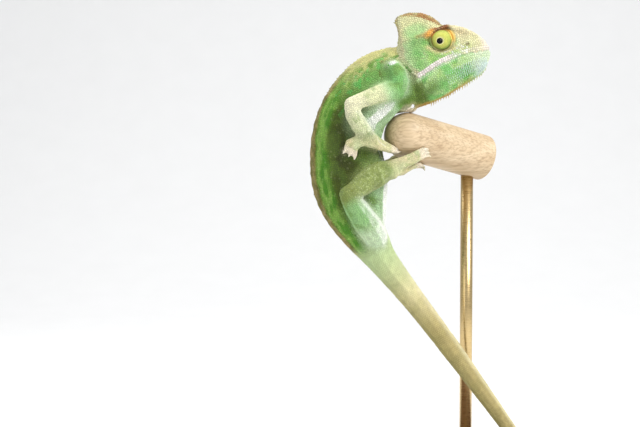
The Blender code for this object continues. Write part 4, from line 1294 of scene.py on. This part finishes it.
def claws(skin):
    """A cream claw on every toe, hooked up where the toe points down, and down elsewhere."""
    rows = []
    for end, way in toe_ends():
        bend = np.array([0, 0, 1.0 if way[2] < 0 else -1.0]) * CLAW_BEND
        rows.append((end - way * 0.5, way, bend, CLAW_LENGTH, CLAW_RADIUS))
    patches = skin.at(np.array([row[0] for row in rows]))[3]
    return cones("claws", rows, [CLAW_CREAM] * len(rows), patches, sides=12, rings=10, squash=0.85, cuff=0.5)


# ---------------------------------------------------------------- the stand

PERCH_RADIUS, PERCH_LENGTH = 8.4, 34.0
PERCH_END = np.array([-7.9, 1.8, 135.4])
PERCH_RUN = np.array([0.86, 0.45, -0.24])
ROD_RADIUS, ROD_SHARE = 2.3, 0.78
COLLAR_RADIUS, COLLAR_HEIGHT = 6.0, 4.0
BASE_LENGTH, BASE_DEPTH, BASE_HEIGHT, BASE_CORNER = 108.0, 64.0, 8.0, 14.0


def turned(name, start, run, stations, around=64):
    """A turned piece: stations of (distance along run, radius), closed at both ends."""
    run = unit(np.asarray(run, float))
    side = unit(np.cross(run, [0.1, 0.2, 1.0]))
    up = np.cross(run, side)
    stations = [(stations[0][0], 0.02), *stations, (stations[-1][0], 0.02)]
    angle = np.arange(around)[:, None] * 2 * math.pi / around
    rings = [start + run * along + r * (np.cos(angle) * side + np.sin(angle) * up) for along, r in stations]
    return turn_outwards(mesh_object(name, np.vstack(rings), [tube_faces(len(rings), around)]))


def rounded(along, centre, radius, low=0, high=90, steps=8):
    """Stations of a rounded edge from the angle low to high, in degrees, round a centre."""
    angles = np.radians(np.linspace(low, high, steps))
    return [(along + radius * math.sin(a), centre + radius * math.cos(a)) for a in angles]


def make_perch():
    """The perch, with a round nose and a slightly rounded far end."""
    edge = 0.8
    angles = np.radians(np.linspace(3, 90, 20))
    nose = [(-PERCH_RADIUS * math.cos(a), PERCH_RADIUS * math.sin(a)) for a in angles]
    middle = [(along, PERCH_RADIUS) for along in np.linspace(1, PERCH_LENGTH - 1.2, 18)]
    far_end = rounded(PERCH_LENGTH - edge, PERCH_RADIUS - edge, edge)
    return turned("perch", PERCH_END, PERCH_RUN, nose + middle + far_end)


def make_base():
    """A flat slab with round corners and a rounded upper edge."""
    edge = 1.2
    outline = []
    for quarter, (x, y) in enumerate([(1, 1), (-1, 1), (-1, -1), (1, -1)]):
        corner = (BASE_LENGTH / 2 - BASE_CORNER) * x, (BASE_DEPTH / 2 - BASE_CORNER) * y
        for a in np.linspace(0, math.pi / 2, 17) + math.pi / 2 * quarter:
            outline.append((*corner, math.cos(a), math.sin(a)))
    outline, count = np.array(outline), len(outline)
    rings = [
        np.column_stack([outline[:, :2] + outline[:, 2:] * (BASE_CORNER + grow), np.full(count, z)])
        for z, grow in [(0.0, -0.5), (0.5, 0.0)] + rounded(BASE_HEIGHT - edge, -edge, edge)
    ]
    under, over = np.arange(count), np.arange(count) + count * (len(rings) - 1)
    groups = [tube_faces(len(rings), count), under[None, ::-1], over[None]]
    base = mesh_object("base", np.vstack(rings), groups)
    for polygon in base.data.polygons[-2:]:
        polygon.use_smooth = False
    return base


def make_stand():
    """Perch, collar, rod and base."""
    perch = make_perch()
    join = PERCH_END + PERCH_RUN * PERCH_LENGTH * ROD_SHARE
    foot = np.array([join[0], join[1], BASE_HEIGHT + 0.1])
    stations = [(0, COLLAR_RADIUS), (COLLAR_HEIGHT * 0.2, COLLAR_RADIUS)]
    stations += rounded(1.0, COLLAR_RADIUS - 0.7, 0.7, 10, 80, 5)
    stations += [(2.0, COLLAR_RADIUS - 1.4), (2.6, 4.3), (3.3, ROD_RADIUS + 1.3)]
    stations += rounded(3.5, ROD_RADIUS + 0.8, 0.4, 0, 90, 5)
    collar = turned("collar", foot, (0, 0, 1), stations)
    top = join[2] - PERCH_RADIUS + 0.35 - foot[2] - COLLAR_HEIGHT
    rod = turned("rod", foot + [0, 0, COLLAR_HEIGHT], (0, 0, 1), [(0, ROD_RADIUS), (top, ROD_RADIUS)], 48)
    return {"perch": perch, "collar": collar, "rod": rod, "base": make_base()}


# ---------------------------------------------------------------- materials


class Nodes:
    """A small helper that adds and links shader nodes of one material."""

    def __init__(self, name):
        self.material = bpy.data.materials.new(name)
        self.material.use_nodes = True
        self.tree = self.material.node_tree

    def fill(self, node, inputs):
        """Sets the inputs of a node, or links those that are given a socket."""
        for key, value in inputs.items():
            if isinstance(value, bpy.types.NodeSocket):
                self.tree.links.new(value, node.inputs[key])
            else:
                node.inputs[key].default_value = value

    def add(self, kind, inputs, **settings):
        node = self.tree.nodes.new(kind)
        for key, value in settings.items():
            setattr(node, key, value)
        self.fill(node, inputs)
        return node.outputs

    def surface(self, inputs):
        self.fill(self.tree.nodes["Principled BSDF"], inputs)
        return self.material

    def noise(self, vector, scale, detail=3.0, roughness=0.5):
        inputs = {"Vector": vector, "Scale": scale, "Detail": detail, "Roughness": roughness}
        return self.add("ShaderNodeTexNoise", inputs)["Fac"]

    def ramp(self, fac, low, high, a, b):
        colour = self.add("ShaderNodeValToRGB", {"Fac": fac})["Color"]
        for element, position, tint in zip(colour.node.color_ramp.elements, (low, high), (a, b)):
            element.position = position
            element.color = (*tint, 1)
        return colour

    def grey(self, fac, a, b):
        return self.ramp(fac, 0.3, 0.7, (a,) * 3, (b,) * 3)

    def multiply(self, a, b):
        return self.add("ShaderNodeMix", {0: 1.0, 6: a, 7: b}, data_type="RGBA", blend_type="MULTIPLY")[2]

    def bump(self, height, strength, distance):
        inputs = {"Strength": strength, "Distance": distance, "Height": height}
        return self.add("ShaderNodeBump", inputs)["Normal"]

    def place(self, rotation=(0, 0, 0), scale=(1, 1, 1)):
        where = self.add("ShaderNodeTexCoord", {})["Object"]
        inputs = {"Vector": where, "Rotation": rotation, "Scale": scale}
        return self.add("ShaderNodeMapping", inputs)["Vector"]


def marked(name, roughness, grain=2500.0, bump=0.25, subsurface=0.12, gloss=0.0, specular=0.3):
    """A material that shows the markings, broken up by fine grain."""
    m = Nodes(name)
    where = m.place()
    fine = m.noise(where, grain, 4.0, 0.6)
    shade = m.ramp(fine, 0.3, 0.7, (0.84, 0.84, 0.8), (1.0, 1.0, 1.0))
    colour = m.add("ShaderNodeAttribute", {}, attribute_name="marks")["Color"]
    return m.surface({
        "Base Color": m.multiply(colour, shade),
        "Roughness": m.grey(m.noise(where, grain * 0.3), roughness - 0.08, roughness + 0.08),
        "Normal": m.bump(fine, bump, 0.00006),
        "Subsurface Weight": subsurface,
        "Subsurface Radius": (0.0012, 0.0010, 0.0005),
        "Subsurface Scale": 1.0,
        "Specular IOR Level": specular,
        "Coat Weight": gloss,
        "Coat Roughness": 0.12,
    })


def wood(name, dark, light, rotation, roughness):
    """Wood with its grain along the local X axis of the rotated place."""
    m = Nodes(name)
    broad = m.noise(m.place(rotation, (9, 120, 120)), 1.6, 5.0, 0.62)
    fine = m.noise(m.place(rotation, (60, 1600, 1600)), 1.0, 4.0, 0.6)
    pores = m.ramp(fine, 0.36, 0.56, (0.72, 0.68, 0.64), (1.0, 1.0, 1.0))
    return m.surface({
        "Base Color": m.multiply(m.ramp(broad, 0.34, 0.68, dark, light), pores),
        "Roughness": m.grey(fine, roughness + 0.12, roughness),
        "Normal": m.bump(fine, 0.35, 0.0001),
    })


def brass(name):
    """Yellow metal, brushed round the rod."""
    m = Nodes(name)
    brushed = m.noise(m.place(scale=(300, 300, 6000)), 1.0, 3.0, 0.6)
    colour = m.ramp(brushed, 0.3, 0.7, (0.56, 0.41, 0.19), (0.66, 0.50, 0.25))
    return m.surface({"Base Color": colour, "Roughness": m.grey(brushed, 0.24, 0.38), "Metallic": 1.0})


def paper(name, light):
    """The pale floor and backdrop."""
    m = Nodes(name)
    colour = m.grey(m.noise(m.place(), 40.0), light * 0.985, light)
    return m.surface({"Base Color": colour, "Roughness": 0.9, "Specular IOR Level": 0.2})


# ---------------------------------------------------------------- stage

LIT_PLACE = Vector((-0.01, 0, 0.13))
CAMERA_TARGET = Vector((-0.0393, 0.0, 0.1075))
CAMERA_DISTANCE = 0.512
CAMERA_RISE = math.radians(3)
LENS = 80.0
LIGHTS = [  # name, place, size and power
    ("key", (0.45, -0.42, 0.62), 0.42, 6.5),
    ("fill", (-0.62, -0.5, 0.25), 0.6, 1.45),
    ("top", (-0.1, 0.15, 0.75), 0.6, 3.2),
]


def make_backdrop():
    """A floor that sweeps up behind the model."""
    half, sweep, behind, height = 2.2, 0.5, 0.5, 2.4
    profile = [(-1.6, 0.0), (behind, 0.0)]
    for a in np.linspace(0.1, math.pi / 2, 14):
        profile.append((behind + sweep * math.sin(a), sweep - sweep * math.cos(a)))
    profile.append((behind + sweep, height))
    verts = [(x, y, z) for y, z in profile for x in (-half, half)]
    first = 2 * np.arange(len(profile) - 1)[:, None]
    floor = mesh_object("backdrop", np.array(verts) / MM, [first + [0, 1, 3, 2]])
    floor.data.materials.append(paper("paper", 0.88))


def make_stage():
    """Backdrop, lights, room light and camera."""
    make_backdrop()
    for name, place, size, power in LIGHTS:
        light = bpy.data.lights.new(name, "AREA")
        light.energy, light.size = power, size
        lamp = new_object(name, light)
        lamp.location = place
        lamp.rotation_euler = (LIT_PLACE - lamp.location).to_track_quat("-Z", "Y").to_euler()
    world = bpy.data.worlds.new("room")
    world.use_nodes = True
    background = world.node_tree.nodes["Background"]
    background.inputs["Color"].default_value = (0.98, 0.99, 1.0, 1)
    background.inputs["Strength"].default_value = 0.56
    bpy.context.scene.world = world
    camera = new_object("camera", bpy.data.cameras.new("camera"))
    camera.data.lens = LENS
    camera.data.clip_start = 0.02
    back = Vector((0, -math.cos(CAMERA_RISE), math.sin(CAMERA_RISE)))
    camera.location = CAMERA_TARGET + back * CAMERA_DISTANCE
    camera.rotation_euler = (-back).to_track_quat("-Z", "Y").to_euler()
    bpy.context.scene.camera = camera
    bpy.context.scene.view_settings.view_transform = "Standard"


# ---------------------------------------------------------------- the whole model


def add(obj, slot, material, *nodes):
    """Puts a finished piece in the frame."""
    obj.data.materials.clear()
    obj.data.materials.append(material)
    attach(obj, "root")
    if nodes:
        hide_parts(*nodes)


def main():
    skin = Skin()
    hide = marked("hide", 0.6, 3000.0, 0.2, 0.15)
    scaly = marked("scaly", 0.5, 4200.0, 0.25, 0.12, 0.0, 0.2)
    horn = marked("horn", 0.4, 2000.0, 0.1, 0.2)
    lid = marked("lid", 0.5, 3600.0, 0.2, 0.1)
    wet = marked("wet", 0.3, 2000.0, 0.0, 0.0, 0.12, 0.1)
    add(skin.obj, "skin", hide, *FLESH)
    for obj, slot in scale_coat(skin):
        add(obj, slot, scaly)
    for side in (-1, 1):
        add(make_turret(skin, side), "eye_lid", lid, f"eye_turret_{side_word(side)}")
        add(turret_granules(skin, side), "eye_lid", scaly)
        add(make_eyeball(side), "eyeball", wet, f"eyeball_{side_word(side)}")
    for name, crest, slot, colour, share in (
        ("back_crest", back_crest, "skin", TAN, 0.5),
        ("belly_crest", belly_crest, "skin", WHITE, 0.9),
        ("throat_crest", throat_crest, "head_skin", tone(222, 204, 150), 0.6),
        ("jaw_spines", jaw_spines, "head_skin", tone(214, 226, 230), 0.75),
    ):
        add(crest_piece(name, crest, skin, colour, share), slot, scaly)
    add(claws(skin), "leg_skin", horn)
    stand = make_stand()
    along = Vector(PERCH_RUN).to_track_quat("X", "Z").inverted().to_euler()
    birch = wood("birch", (0.50, 0.36, 0.21), (0.66, 0.52, 0.34), tuple(along), 0.45)
    walnut = wood("walnut", (0.075, 0.036, 0.018), (0.20, 0.105, 0.052), (0, 0, 0), 0.34)
    metal = brass("brass")
    add(stand["perch"], "perch_wood", birch, "stand_perch")
    add(stand["base"], "stand_wood", walnut, "stand_base")
    add(stand["rod"], "stand_metal", metal, "stand_rod")
    add(stand["collar"], "stand_metal", metal, "stand_collar")
    make_stage()


main()
